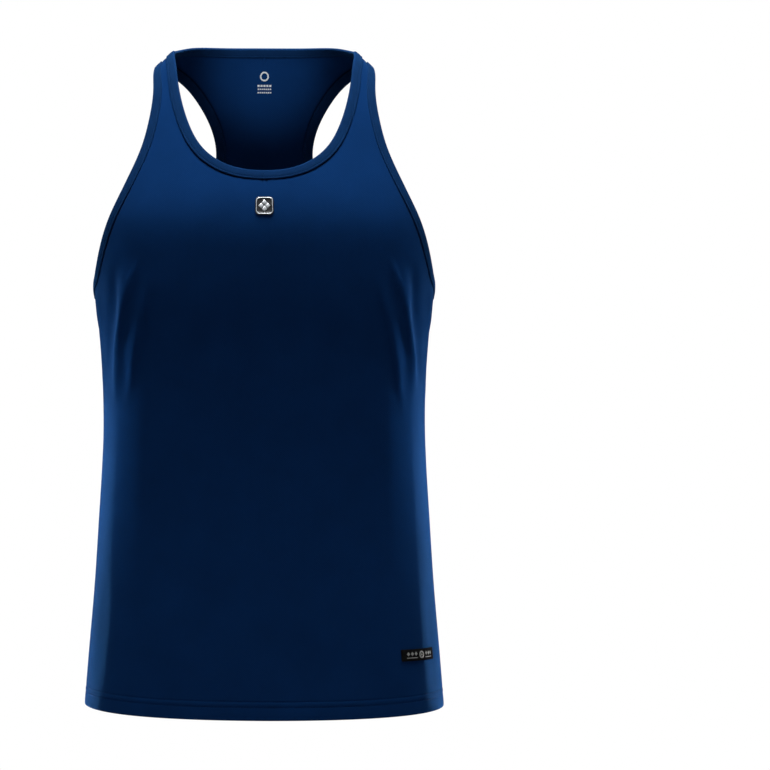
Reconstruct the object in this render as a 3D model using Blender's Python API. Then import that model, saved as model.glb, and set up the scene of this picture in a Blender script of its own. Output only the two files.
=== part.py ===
"""Stringer vest: a sleeveless racerback training vest, hollow and filled out as when it is worn.

The vest faces -Y and hangs from the wearer's shoulders, and its origin lies midway between the two
shoulder seams. Every piece is cut from one tube of cloth, which has two coordinates:

  angle  0 at the centre front, 90 at the side and over the shoulder ridge, 180 at the centre back
  drop   millimetres below the shoulder ridge beside the neck

Sizes and tables are in millimetres, and the meshes are written in metres.
"""

import math
from collections import namedtuple
from functools import cache

import bmesh
import bpy
import numpy as np

MM = 0.001
ON_LINE = 1e-6  # degrees within which a place is on a centre line or a seam
SIDES = {"left": 1, "right": -1}  # the wearer's left is +X
FRONT_CENTRE, SIDE_SEAM, BACK_CENTRE = 0.0, 90.0, 180.0

# Cloth and making up
CLOTH = 1.2  # wall of the front and back panels
SEAM_GAP = 0.3  # between two pieces that are sewn together
BINDING_WIDTH = 10.6  # folded strip round the neck and the armholes, as it shows
BINDING_CLOTH = 1.0  # wall of that strip
RAW_EDGE = BINDING_CLOTH + SEAM_GAP + 0.2  # from the finished edge in to a panel's cut edge
HEM_SIDE, HEM_FRONT, HEM_BACK = 700.0, 707.0, 712.0  # drop of the lower edge
HEM_DEPTH = 20.0  # turned-up hem
HEM_LAYER = 1.0  # what the turned-up layer adds on the inside
HEM_STEP = 1.2  # slope where that layer ends
HEM_LEAN = 1.5  # the lower edge hangs this much lower at the wearer's left seam than midway
SHARP_ANGLE = 50.0  # degrees from which an edge of a solid is drawn sharp

# The chest's fullness ends lower towards the arms, by CHEST_FALL at the side
CHEST_FALL = 22.0
CHEST_FALL_STARTS = (60.0, 160.0)  # drops between which it sets in, and those where it dies away
CHEST_FALL_ENDS = (250.0, 340.0)

# Grid of the solids: cells over half a panel
BODY_COLUMNS = 24
CHEST_COLUMNS = 12
BACK_COLUMNS = 14
FRONT_BODY_ROWS = 18
FRONT_CHEST_ROWS = 20
BACK_BODY_ROWS = 15
BACK_BLADE_ROWS = 17
BACK_YOKE_ROWS = 7
FRONT_SAG = 46.0  # how far a row sags between the neck's lowest point and the underarm
BACK_SAG = 60.0  # how far a row falls from the underarm to the centre back
FRONT_GATHER = 0.30  # how far the columns draw together over the folds
BACK_GATHER = 0.20
ROWS_CROWD_UP = 1.25  # above 1, a body's rows lie closer towards the chest
FOLD_POINTS = 5  # round the folded edge of a binding
CORNER_POINTS = 4  # round a corner of a patch
PATCH_ROWS = 4  # over a patch between its corners

# Steps for finding slopes, lengths and places on the cloth
SLOPE_STEP = 0.5  # degrees and millimetres
WALK_STEP = 0.1
WALK_STEPS = 4
EDGE_POINTS = 600
EDGE_AHEAD = 0.004  # share of an edge's length
BISECTIONS = 50

# The tube of cloth, section by section. drop is negative above the shoulder ridge, where only the
# nape of the neckline reaches. front and back are measured from centre, the y of the side seam, and
# square flattens a section's front and back and tightens its sides.
Section = namedtuple("Section", "drop half_width front back centre square")
SECTIONS = (
    Section(-12, 80.0, 38.0, 50.0, 9.0, 0.03),
    Section(0, 94.5, 45.0, 58.0, 8.0, 0.03),
    Section(10, 106.5, 50.5, 63.0, 7.6, 0.03),
    Section(20, 116.5, 55.0, 67.0, 7.1, 0.03),
    Section(34, 128.5, 60.5, 72.5, 6.4, 0.03),
    Section(54, 143.0, 68.0, 80.0, 5.4, 0.035),
    Section(78, 157.5, 78.5, 88.5, 4.1, 0.035),
    Section(105, 169.5, 91.0, 97.0, 2.7, 0.035),
    Section(140, 180.5, 107.0, 105.5, 1.2, 0.04),
    Section(162, 184.5, 116.0, 108.7, 0.6, 0.043),
    Section(182, 186.8, 121.6, 110.6, 0.3, 0.045),
    Section(202, 187.6, 124.2, 111.3, 0.1, 0.045),
    Section(224, 186.4, 124.8, 111.4, 0.0, 0.046),
    Section(257, 181.6, 124.3, 109.5, 0.0, 0.05),
    Section(300, 176.5, 121.8, 105.5, 0.0, 0.05),
    Section(360, 172.5, 119.0, 100.5, 0.0, 0.05),
    Section(430, 172.5, 118.0, 98.5, 0.0, 0.05),
    Section(500, 176.5, 119.5, 101.0, 0.0, 0.045),
    Section(570, 181.0, 122.5, 106.0, 0.0, 0.045),
    Section(640, 187.0, 126.5, 111.5, 0.0, 0.045),
    Section(716, 193.0, 131.5, 117.0, 0.0, 0.045),
)

# Finished edges, where half_width is measured from the centre plane and RIDGE is the tube's own
RIDGE = None
Edge = namedtuple("Edge", "half_width drop")
NECK_FRONT = (
    Edge(0.0, 135.0),
    Edge(31.0, 131.2),
    Edge(52.5, 121.0),
    Edge(66.8, 107.5),
    Edge(76.5, 91.0),
    Edge(83.2, 73.5),
    Edge(88.2, 55.0),
    Edge(92.0, 34.0),
    Edge(94.6, 15.0),
    Edge(RIDGE, 1.2),
)
NECK_BACK = (
    Edge(0.0, -7.0),
    Edge(48.0, -6.6),
    Edge(80.0, -4.4),
    Edge(RIDGE, 1.2),
)
ARMHOLE_FRONT = (
    Edge(RIDGE, 257.0),
    Edge(176.8, 232.5),
    Edge(167.6, 196.0),
    Edge(151.2, 158.0),
    Edge(133.7, 120.0),
    Edge(122.2, 81.0),
    Edge(118.2, 54.0),
    Edge(118.2, 34.0),
    Edge(RIDGE, 20.5),
)
ARMHOLE_BACK = (
    Edge(RIDGE, 257.0),
    Edge(163.0, 247.5),
    Edge(122.0, 221.0),
    Edge(83.5, 180.0),
    Edge(62.0, 143.0),
    Edge(53.0, 107.0),
    Edge(58.0, 80.0),
    Edge(72.0, 53.0),
    Edge(86.5, 35.5),
    Edge(101.0, 25.0),
    Edge(RIDGE, 20.5),
)
NECK_CENTRE = (0.0, 0.0, 0.0)  # each opening's edge goes round its centre
ARMHOLE_CENTRE = (182.0, 0.0, -130.0)  # at the wearer's left

# Soft folds below the armholes. side is 1 for the wearer's left, reach the half width of a fold,
# fade the length over which each of its ends dies away, and a negative height is a trough.
Fold = namedtuple("Fold", "side start_angle start_drop end_angle end_drop reach fade height")
FOLDS = (
    Fold(1, 43.0, 226, 62.0, 376, 9.0, 44, 3.6),
    Fold(1, 40.0, 258, 51.0, 366, 8.5, 40, 2.2),
    Fold(1, 54.0, 262, 71.0, 372, 11.0, 40, -2.0),
    Fold(-1, 43.5, 224, 61.0, 384, 9.0, 46, 3.8),
    Fold(-1, 40.5, 262, 50.0, 358, 8.5, 38, 2.0),
    Fold(-1, 55.0, 258, 70.0, 364, 11.0, 40, -2.2),
    Fold(1, 128.0, 268, 117.0, 412, 12.0, 56, 2.6),
    Fold(1, 112.0, 292, 106.0, 470, 13.0, 70, -2.2),
    Fold(-1, 129.0, 272, 119.0, 396, 12.0, 54, 2.4),
    Fold(-1, 111.0, 300, 107.0, 452, 13.0, 66, -2.0),
)
ROUND_PER_DEGREE = 2.65  # mean length of cloth in one degree of angle

# Rubber badge on the chest, and the woven label above the hem at the wearer's left
Patch = namedtuple("Patch", "angle drop length height corner thickness")
BADGE = Patch(0.0, 173.0, 19.0, 19.0, 4.0, 0.9)
LABEL = Patch(56.0, 642.0, 57.0, 12.4, 1.2, 0.7)
PATCH_CELL = 5.0

# Each look is a base colour and a roughness
Look = namedtuple("Look", "colour roughness")
NAVY_KNIT = Look((0.012, 0.045, 0.130, 1.0), 0.62)
NAVY_BINDING = Look((0.011, 0.040, 0.115, 1.0), 0.66)
BLACK_RUBBER = Look((0.010, 0.010, 0.012, 1.0), 0.45)
BLACK_TAPE = Look((0.014, 0.014, 0.016, 1.0), 0.60)


def clear_scene():
    for found in list(bpy.data.objects):
        bpy.data.objects.remove(found)


def cubic(knots, values, flat_ends=False):
    """A smooth curve through values at knots, as a function. With flat_ends its slope is 0 at both
    ends, and otherwise its bending is."""
    x, y = np.asarray(knots, float), np.asarray(values, float)
    h, slope = np.diff(x), np.diff(y) / np.diff(x)
    n = len(x)
    matrix, right = np.zeros((n, n)), np.zeros(n)
    for i in range(1, n - 1):
        matrix[i, i - 1 : i + 2] = h[i - 1], 2 * (h[i - 1] + h[i]), h[i]
        right[i] = 6 * (slope[i] - slope[i - 1])
    matrix[0, 0] = matrix[-1, -1] = 1.0
    if flat_ends:
        matrix[0, :2], right[0] = (2 * h[0], h[0]), 6 * slope[0]
        matrix[-1, -2:], right[-1] = (h[-1], 2 * h[-1]), -6 * slope[-1]
    bend = np.linalg.solve(matrix, right)

    def at(t):
        t = np.asarray(t, float)
        i = np.clip(np.searchsorted(x, t) - 1, 0, n - 2)
        a, b = (x[i + 1] - t) / h[i], (t - x[i]) / h[i]
        curved = ((a**3 - a) * bend[i] + (b**3 - b) * bend[i + 1]) * h[i] ** 2 / 6
        return a * y[i] + b * y[i + 1] + curved

    return at


HALF_WIDTH, FRONT, BACK, CENTRE, SQUARE = (
    cubic([row.drop for row in SECTIONS], [getattr(row, column) for row in SECTIONS])
    for column in Section._fields[1:]
)


def section_x(turn, square):
    """Across a section of half width 1, turn radians from its centre line."""
    return (np.sin(turn) + square * np.sin(3 * turn)) / (1 - square)


def section_y(turn, square):
    """Front to back over a section of depth 1, turn radians from its centre line."""
    return (np.cos(turn) - square * np.cos(3 * turn)) / (1 - square)


def eased(value, start, end):
    """A smooth rise from 0 to 1 as value goes from start to end."""
    share = np.clip((np.asarray(value, float) - start) / (end - start), 0, 1)
    return share * share * (3 - 2 * share)


def front_depth(angle, drop):
    held = eased(drop, *CHEST_FALL_STARTS) * (1 - eased(drop, *CHEST_FALL_ENDS))
    return FRONT(drop - CHEST_FALL * held * np.sin(np.radians(angle)) ** 2)


def bare_form(angle, drop):
    """Points on the +X half of the tube with no folds in it."""
    turn, square = np.radians(angle), SQUARE(drop)
    depth = np.where(np.asarray(angle) <= SIDE_SEAM, front_depth(angle, drop), BACK(drop))
    x = HALF_WIDTH(drop) * section_x(turn, square)
    y = CENTRE(drop) - depth * section_y(turn, square)
    return np.stack(np.broadcast_arrays(x, y, -np.asarray(drop, float)), -1)


def unit(vectors):
    return vectors / np.linalg.norm(vectors, axis=-1, keepdims=True)


def outward(surface, angle, drop, step=SLOPE_STEP):
    """Outward normal of a surface that takes an angle and a drop, on the +X half."""
    angle, drop = np.asarray(angle, float), np.asarray(drop, float)
    round_it = surface(angle + step, drop) - surface(angle - step, drop)
    down = surface(angle, drop + step) - surface(angle, drop - step)
    return unit(np.cross(down, round_it))


def fold_lift(side, angle, drop):
    """How far the folds lift the cloth at places on the side given, or on a side for each place."""
    lift = np.zeros(np.broadcast(side, angle, drop).shape)
    for fold in FOLDS:
        run_round = (fold.end_angle - fold.start_angle) * ROUND_PER_DEGREE
        run_down = fold.end_drop - fold.start_drop
        length = math.hypot(run_round, run_down)
        away_round, away_down = (angle - fold.start_angle) * ROUND_PER_DEGREE, drop - fold.start_drop
        along = (away_round * run_round + away_down * run_down) / length
        beside = (away_round * run_down - away_down * run_round) / length
        ends = eased(np.minimum(along, length - along), 0, fold.fade)
        bump = fold.height * ends * np.exp(-((beside / fold.reach) ** 2))
        lift += np.where(np.asarray(side) == fold.side, bump, 0.0)
    return lift


def cloth(side, angle, drop):
    """Points on the outside of the cloth. side is 1 for the wearer's left and -1 for the right."""
    lift = fold_lift(side, angle, drop)[..., None]
    points = bare_form(angle, drop) + outward(bare_form, angle, drop) * lift
    points[..., 0] *= side
    return points


def cloth_normal(side, angle, drop):
    return outward(lambda a, d: cloth(side, a, d), angle, drop) * np.asarray(side)[..., None]


def angle_at(half_width, drop):
    """Angle on the front where the bare form is half_width from the centre plane."""
    low, high = FRONT_CENTRE, SIDE_SEAM
    for _ in range(BISECTIONS):
        middle = (low + high) / 2
        wide = HALF_WIDTH(drop) * section_x(math.radians(middle), SQUARE(drop))
        low, high = (middle, high) if wide < half_width else (low, middle)
    return (low + high) / 2


def lengths_along(points):
    return np.concatenate([[0], np.cumsum(np.linalg.norm(np.diff(points, axis=0), axis=1))])


def edge_line(rows, back):
    """Angle and drop along a finished edge as a function of the share of its length."""
    angles = [SIDE_SEAM if row.half_width is RIDGE else angle_at(row.half_width, row.drop) for row in rows]
    angles = [BACK_CENTRE - a if back else a for a in angles]
    drops = [float(row.drop) for row in rows]
    knots = lengths_along(bare_form(np.array(angles), np.array(drops)))
    angle, drop = cubic(knots, angles), cubic(knots, drops, flat_ends=True)
    fine = np.linspace(0, knots[-1], EDGE_POINTS)
    length = lengths_along(bare_form(angle(fine), drop(fine)))

    def at(share):
        knot = np.interp(share * length[-1], length, fine)
        return float(angle(knot)), float(drop(knot))

    return at


def walk(side, place, heading, distance):
    """The place one reaches from place by going distance over the cloth in the heading given."""
    angle, drop = place
    for _ in range(WALK_STEPS):
        here = cloth(side, angle, drop)
        by_angle = (cloth(side, angle + WALK_STEP, drop) - here) / WALK_STEP
        by_drop = (cloth(side, angle, drop + WALK_STEP) - here) / WALK_STEP
        stride = unit(heading) * distance / WALK_STEPS
        moved = np.linalg.lstsq(np.stack([by_angle, by_drop], -1), stride, rcond=None)[0]
        angle, drop = angle + moved[0], drop + moved[1]
    return float(angle), float(drop)


Station = namedtuple("Station", "side share raw inner")


def edge_stations(side, rows, back, count, hole):
    """Places along a finished edge from its first row to its last, each with the panel's raw edge
    and the inner edge of the binding as (angle, drop). hole is a point that the edge goes round."""
    line = edge_line(rows, back)
    found = []
    for i in range(count + 1):
        at_end = i in (0, count)
        share = i / count
        place = line(share)
        if at_end:  # where the edge crosses a seam or a centre line squarely
            ahead, behind = (place[0] + WALK_STEP, place[1]), (place[0] - WALK_STEP, place[1])
        else:
            ahead, behind = line(share + EDGE_AHEAD), line(share - EDGE_AHEAD)
        here = cloth(side, *place)
        heading = np.cross(cloth_normal(side, *place), cloth(side, *ahead) - cloth(side, *behind))
        if heading @ (here - np.array(hole)) < 0:
            heading = -heading
        raw, inner = (walk(side, place, heading, d) for d in (RAW_EDGE, BINDING_WIDTH))
        if at_end:
            raw, inner = (place[0], raw[1]), (place[0], inner[1])
        found.append(Station(side, share, raw, inner))
    return found


@cache
def neck_stations(side, back):
    if back:
        return edge_stations(side, NECK_BACK, True, BACK_YOKE_ROWS, NECK_CENTRE)
    return edge_stations(side, NECK_FRONT, False, FRONT_CHEST_ROWS, NECK_CENTRE)


@cache
def armhole_stations(side, back):
    hole = np.multiply(ARMHOLE_CENTRE, (side, 1, 1))
    if back:
        return edge_stations(side, ARMHOLE_BACK, True, BACK_BLADE_ROWS + BACK_YOKE_ROWS, hole)
    return edge_stations(side, ARMHOLE_FRONT, False, FRONT_CHEST_ROWS, hole)


def hem_drop(side, angle):
    """The lower edge hangs a little lower at the two centres than at the side seams, and leans."""
    turn = np.radians(angle)
    centre = np.where(np.asarray(angle) < SIDE_SEAM, HEM_FRONT, HEM_BACK)
    return HEM_SIDE + (centre - HEM_SIDE) * np.cos(turn) ** 2 + side * HEM_LEAN * np.sin(turn)


def material(name, look):
    made = bpy.data.materials.new(name)
    made.use_nodes = True
    shader = made.node_tree.nodes["Principled BSDF"]
    shader.inputs["Base Color"].default_value = look.colour
    shader.inputs["Roughness"].default_value = look.roughness
    shader.inputs["Metallic"].default_value = 0.0
    return made


def solid(name, points, faces, look):
    """A closed mesh object from points in millimetres."""
    shape = bmesh.new()
    corners = [shape.verts.new(tuple(point * MM)) for point in np.asarray(points, float)]
    for face in faces:
        shape.faces.new([corners[i] for i in face])
    bmesh.ops.recalc_face_normals(shape, faces=shape.faces)
    mesh = bpy.data.meshes.new(name)
    shape.to_mesh(mesh)
    shape.free()
    mesh.shade_smooth()
    mesh.set_sharp_from_angle(angle=math.radians(SHARP_ANGLE))
    mesh.materials.append(material(name, look))
    made = bpy.data.objects.new(name, mesh)
    bpy.context.scene.collection.objects.link(made)
    return made


class Sheet:
    """One layer of cloth as places and faces, which wall() gives a thickness."""

    def __init__(self, seam_side):
        self.seam_side = seam_side  # which way a panel's side seam moves off the seam line
        self.places = []  # side, angle, drop and depth of the wall
        self.faces = []
        self.known = {}

    def point(self, side, angle, drop, depth=CLOTH):
        if min(angle - FRONT_CENTRE, BACK_CENTRE - angle) < ON_LINE:
            side = 0  # the two halves share their centre line
        key = (side, round(float(angle), 5), round(float(drop), 4), depth)
        if key not in self.known:
            if abs(angle - SIDE_SEAM) < ON_LINE:
                ends = bare_form(np.array([SIDE_SEAM - SLOPE_STEP, SIDE_SEAM + SLOPE_STEP]), drop)
                per_degree = abs(ends[1, 1] - ends[0, 1]) / (2 * SLOPE_STEP)
                angle += self.seam_side * SEAM_GAP / 2 / per_degree
            self.known[key] = len(self.places)
            self.places.append((side, angle, drop, depth))
        return self.known[key]

    def row(self, side, places):
        return [self.point(side, *place) for place in places]

    def apart(self, a, b):
        """Roughly how far apart two points are on the cloth."""
        (_, angle_a, drop_a, _), (_, angle_b, drop_b, _) = self.places[a], self.places[b]
        return math.hypot((angle_a - angle_b) * ROUND_PER_DEGREE, drop_a - drop_b)

    def fill(self, lower, upper):
        """Faces between two rows, of which the lower may have a whole number of times the cells. A
        cell of four points is split along its shorter diagonal."""
        ratio = (len(lower) - 1) // (len(upper) - 1)
        for j in range(len(upper) - 1):
            ring = lower[j * ratio : (j + 1) * ratio + 1] + [upper[j + 1], upper[j]]
            if ratio > 1:
                self.faces.append(ring)
                continue
            a, b, c, d = ring
            if self.apart(a, c) <= self.apart(b, d):
                self.faces += [[a, b, c], [a, c, d]]
            else:
                self.faces += [[b, c, d], [b, d, a]]

    def bind_margin(self, stations):
        """The strip from the raw edge to the inner edge of the binding, which covers it. Its
        triangles lie as those of the binding's legs do."""
        raw = [self.point(s.side, *s.raw) for s in stations]
        inner = [self.point(s.side, *s.inner) for s in stations]
        for i in range(len(stations) - 1):
            self.faces.append([raw[i], raw[i + 1], inner[i]])
            self.faces.append([raw[i + 1], inner[i + 1], inner[i]])


def wall(name, sheet, look):
    """The sheet as a wall: its places are the outside, and the inside lies in by each depth."""
    side, angle, drop, depth = np.array(sheet.places).T
    real_side = np.where(side == 0, 1, side)
    outer, normals = cloth(real_side, angle, drop), cloth_normal(real_side, angle, drop)
    outer[side == 0, 0] = normals[side == 0, 0] = 0.0
    inner = outer - unit(normals) * depth[:, None]
    n = len(outer)
    faces = sheet.faces + [[i + n for i in face] for face in sheet.faces]
    borders = {}
    for face in sheet.faces:
        for a, b in zip(face, face[1:] + face[:1]):
            borders.setdefault(frozenset((a, b)), []).append((a, b))
    faces += [[a, b, b + n, a + n] for (a, b), *others in borders.values() if not others]
    return solid(name, np.concatenate([outer, inner]), faces, look)


def column_shares(count, gather):
    """Shares from 0 to 1 across half a panel, gathered towards its middle, where the folds are."""
    even = np.linspace(0, 1, count + 1)
    return even + gather * np.sin(2 * math.pi * even) / (2 * math.pi)


def places_across(start, end, shares, sag=0.0):
    """Places from start to end, each an (angle, drop), of which the middle one is lower by sag."""
    return [np.add(start, np.subtract(end, start) * s) + (0, 4 * sag * s * (1 - s)) for s in shares]


def body_rows(sheet, side, top, count):
    """Rows from the lower edge up to the places in top. The first two carry the hem's turned-up
    layer on the inside."""
    angles, high = np.array(top).T
    hem = hem_drop(side, angles)
    doubled = CLOTH + HEM_LAYER
    rows = []
    for above, depth in ((0, doubled), (HEM_DEPTH, doubled), (HEM_DEPTH + HEM_STEP, CLOTH)):
        rows.append([sheet.point(side, a, d - above, depth) for a, d in zip(angles, hem)])
    low = hem - HEM_DEPTH - HEM_STEP
    for i in range(1, count + 1):
        rise = 1 - (1 - i / count) ** ROWS_CROWD_UP
        rows.append(sheet.row(side, zip(angles, low + (high - low) * rise)))
    return rows


def front_panel():
    """Scooped neck, two straps up to the shoulder seams, and the chest and body in one piece."""
    sheet = Sheet(seam_side=-1)
    chest_shares = column_shares(CHEST_COLUMNS, FRONT_GATHER)
    body_shares = column_shares(BODY_COLUMNS, FRONT_GATHER)
    for side in SIDES.values():
        neck, arm = neck_stations(side, False), armhole_stations(side, False)
        top = places_across(neck[0].inner, arm[0].inner, body_shares, FRONT_SAG)
        rows = body_rows(sheet, side, top, FRONT_BODY_ROWS)
        for n, a in zip(neck[1:], arm[1:]):
            sag = FRONT_SAG * (1 - n.share) ** 2
            rows.append(sheet.row(side, places_across(n.inner, a.inner, chest_shares, sag)))
        for lower, upper in zip(rows, rows[1:]):
            sheet.fill(lower, upper)
        sheet.bind_margin(neck)
        sheet.bind_margin(arm)
    return wall("front_panel", sheet, NAVY_KNIT)


def back_panel():
    """Racerback: a yoke at the neck, a narrow stretch between the shoulder blades, and the body."""
    sheet = Sheet(seam_side=1)
    shares = column_shares(BACK_COLUMNS, BACK_GATHER)
    for side in SIDES.values():
        neck, arm = neck_stations(side, True), armhole_stations(side, True)
        nape, lowest = neck[0].inner[1], arm[0].inner[1] + BACK_SAG
        top = places_across((BACK_CENTRE, lowest), arm[0].inner, shares)
        rows = body_rows(sheet, side, top, BACK_BODY_ROWS)
        for i in range(1, BACK_BLADE_ROWS + 1):
            centre = BACK_CENTRE, lowest + (nape - lowest) * i / BACK_BLADE_ROWS
            rows.append(sheet.row(side, places_across(centre, arm[i].inner, shares)))
        for n, a in zip(neck[1:], arm[BACK_BLADE_ROWS + 1 :]):
            rows.append(sheet.row(side, places_across(n.inner, a.inner, shares)))
        for lower, upper in zip(rows, rows[1:]):
            sheet.fill(lower, upper)
        sheet.bind_margin(neck)
        sheet.bind_margin(arm)
    return wall("back_panel", sheet, NAVY_KNIT)


def binding_profile():
    """The folded strip's cross section, which straddles a panel's edge: (in from the finished edge,
    out from the cloth's outside) of each corner, going round it."""
    middle = -CLOTH / 2
    radius = CLOTH / 2 + SEAM_GAP + BINDING_CLOTH
    slot_half = CLOTH / 2 + SEAM_GAP
    slot_end = RAW_EDGE - SEAM_GAP
    fold = np.linspace(math.pi / 2, -math.pi / 2, FOLD_POINTS)
    rounded = [(radius * (1 - math.cos(t)), middle + radius * math.sin(t)) for t in fold]
    return [
        (BINDING_WIDTH, middle + slot_half),
        (BINDING_WIDTH, middle + radius),
        *rounded,
        (BINDING_WIDTH, middle - radius),
        (BINDING_WIDTH, middle - slot_half),
        (slot_end, middle - slot_half),
        (slot_end, middle + slot_half),
    ]


def binding(name, ring):
    """A closed ring of folded strip along the stations of an opening."""
    profile = binding_profile()
    points, faces = [], []
    for station in ring:
        raw, inner = (cloth(station.side, *place) for place in (station.raw, station.inner))
        raw_up, inner_up = (cloth_normal(station.side, *place) for place in (station.raw, station.inner))
        for inset, height in profile:
            share = (inset - RAW_EDGE) / (BINDING_WIDTH - RAW_EDGE)
            place = raw + (inner - raw) * share
            up = unit(raw_up + (inner_up - raw_up) * share)
            points.append(place + up * height)
    across, around = len(profile), len(ring)
    for i in range(around):
        ahead = (i + 1) % around
        if ring[ahead].share > ring[i].share:
            low, high = i * across, ahead * across
        else:
            low, high = ahead * across, i * across
        for j in range(across):
            k = (j + 1) % across
            deep, shallow = (j, k) if profile[j][0] >= profile[k][0] else (k, j)
            faces.append([low + deep, low + shallow, high + shallow])
            faces.append([low + deep, high + shallow, high + deep])
    return solid(name, points, faces, NAVY_BINDING)


def neck_binding():
    """Round the neck: from the centre front over the left shoulder to the nape, and back."""
    left = neck_stations(1, False) + neck_stations(1, True)[-2::-1]
    right = neck_stations(-1, True)[1:] + neck_stations(-1, False)[-2:0:-1]
    return binding("neck_binding", left + right)


def armhole_binding(word):
    """Round one armhole: from the side seam up the front, over the shoulder and down the back."""
    side = SIDES[word]
    ring = armhole_stations(side, False) + armhole_stations(side, True)[-2:0:-1]
    return binding(f"armhole_binding_{word}", ring)


def patch(name, size, look):
    """A flat piece with round corners on the cloth, made from the cloth's points moved out."""
    flat_half = size.height / 2 - size.corner
    corner = np.linspace(0, math.pi / 2, CORNER_POINTS)
    upper = [(flat_half + size.corner * math.sin(t), size.corner * (1 - math.cos(t))) for t in corner]
    middle = [(y, 0.0) for y in np.linspace(-flat_half, flat_half, PATCH_ROWS)[1:-1]]
    rows = [(-y, inset) for y, inset in upper[::-1]] + middle + upper
    columns = 2 * math.ceil(size.length / 2 / PATCH_CELL)
    around = cloth(1, size.angle + 1, size.drop) - cloth(1, size.angle, size.drop)
    per_degree = np.linalg.norm(around)
    outer, inner = [], []
    for y, inset in rows:
        for across in np.linspace(-1, 1, columns + 1) * (size.length / 2 - inset):
            angle = size.angle + across / per_degree
            drop = size.drop - y
            side = -1 if angle < FRONT_CENTRE else 1
            place, up = cloth(side, abs(angle), drop), cloth_normal(side, abs(angle), drop)
            inner.append(place + up * SEAM_GAP)
            outer.append(place + up * (SEAM_GAP + size.thickness))
    width, n = columns + 1, len(outer)
    cells = [[r * width + c, r * width + c + 1, (r + 1) * width + c + 1, (r + 1) * width + c]
             for r in range(len(rows) - 1) for c in range(columns)]
    rim = [*range(width), *range(2 * width - 1, n, width), *range(n - 2, n - width - 1, -1)]
    rim += range(n - 2 * width, 0, -width)
    faces = cells + [[i + n for i in cell] for cell in cells]
    faces += [[a, b, b + n, a + n] for a, b in zip(rim, rim[1:] + rim[:1])]
    return solid(name, outer + inner, faces, look)


clear_scene()
front_panel()
back_panel()
neck_binding()
armhole_binding("left")
armhole_binding("right")
patch("chest_badge", BADGE, BLACK_RUBBER)
patch("hem_label", LABEL, BLACK_TAPE)
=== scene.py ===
"""Stringer vest, dressed: knit panels with side seams and a twin-needle hem, folded bindings,
stitches, a rubber badge, a woven label and two small prints, with a camera, soft light and a floor.

Sizes and tables are in millimetres, and meshes are written in metres. The cloth is one tube with two
coordinates, angle and drop: angle is 0 at the centre front, 90 at the side seam and over the shoulder
ridge and 180 at the centre back, and drop is measured down from the shoulder ridge by the neck.
"""

import math
from collections import namedtuple

import bmesh
import bpy
import numpy as np
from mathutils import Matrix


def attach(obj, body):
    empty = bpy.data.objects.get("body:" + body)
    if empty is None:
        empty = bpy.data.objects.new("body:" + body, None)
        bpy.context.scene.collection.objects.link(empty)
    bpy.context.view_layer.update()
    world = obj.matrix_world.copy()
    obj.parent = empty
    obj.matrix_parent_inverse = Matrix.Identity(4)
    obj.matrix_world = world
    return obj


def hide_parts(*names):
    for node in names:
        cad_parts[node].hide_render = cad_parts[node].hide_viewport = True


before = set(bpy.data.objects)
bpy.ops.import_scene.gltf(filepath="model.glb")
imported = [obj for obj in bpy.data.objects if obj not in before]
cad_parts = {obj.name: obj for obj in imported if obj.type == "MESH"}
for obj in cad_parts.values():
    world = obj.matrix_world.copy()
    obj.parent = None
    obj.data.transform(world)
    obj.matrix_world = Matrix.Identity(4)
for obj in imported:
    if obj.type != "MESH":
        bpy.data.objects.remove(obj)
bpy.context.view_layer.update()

MM = 0.001
SIDES = (1, -1)  # the wearer's left is +X
NAMED_SIDES = ((1, "left"), (-1, "right"))
SIDE_SEAM, BACK_CENTRE = 90.0, 180.0

# Making up. A binding's measures run in from its finished edge.
CLOTH = 1.0  # thickness of a panel
BINDING_WIDTH, BINDING_NEEDLE = 10.6, 8.65
BINDING_MIDDLE = -0.6  # height of its middle plane
RAW_EDGE = 1.5  # the outer of the two lines that carry a binding's frames
TUCKED = 3.0  # how far a panel runs in under its binding
HEM_SIDE, HEM_FRONT, HEM_BACK = 700.0, 707.0, 712.0
HEM_DEPTH, HEM_THICK, HEM_LEAN = 20.0, 2.2, 1.5
HEM_NEEDLES = (13.6, 19.4)  # two lines of stitches above the lower edge
CHEST_FALL, CHEST_FALL_STARTS, CHEST_FALL_ENDS = 22.0, (60.0, 160.0), (250.0, 340.0)
BINDING_NODES = {
    "neck": "neck_binding", "left_arm": "armhole_binding_left", "right_arm": "armhole_binding_right"
}

# Threads
Stitch = namedtuple("Stitch", "pitch length radius")
BINDING_STITCH = Stitch(2.7, 1.9, 0.21)
HEM_STITCH = Stitch(3.0, 2.2, 0.24)
ALLOWANCE_LOOP, ALLOWANCE_LINE = Stitch(2.5, 5.6, 0.24), Stitch(2.5, 1.9, 0.22)
COVER_THREADS, COVER_RADIUS = 350, 0.22

# What sewing does to the outside of the cloth: bumps of (height, middle, width) by the distance from
# a binding's edge, from a seam and from the hem's edge
BINDING_SWELLS = ((-0.75, 0.4, 1.1),)
SEAM_SWELLS = ((-0.75, 0.0, 0.8), (0.16, 2.8, 1.4))
HEM_SWELLS = (*((-0.34, needle, 0.55) for needle in HEM_NEEDLES), (0.22, 16.5, 2.2), (0.14, 6.5, 4.0))
PUCKER, PUCKER_REACH = 0.16, 6.0
WEAR_REACH, PAINTED_SHADE_REACH = 3.0, 1.6  # of the paler worn edges, and of the painted shadow in the ditch beside a binding
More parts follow.
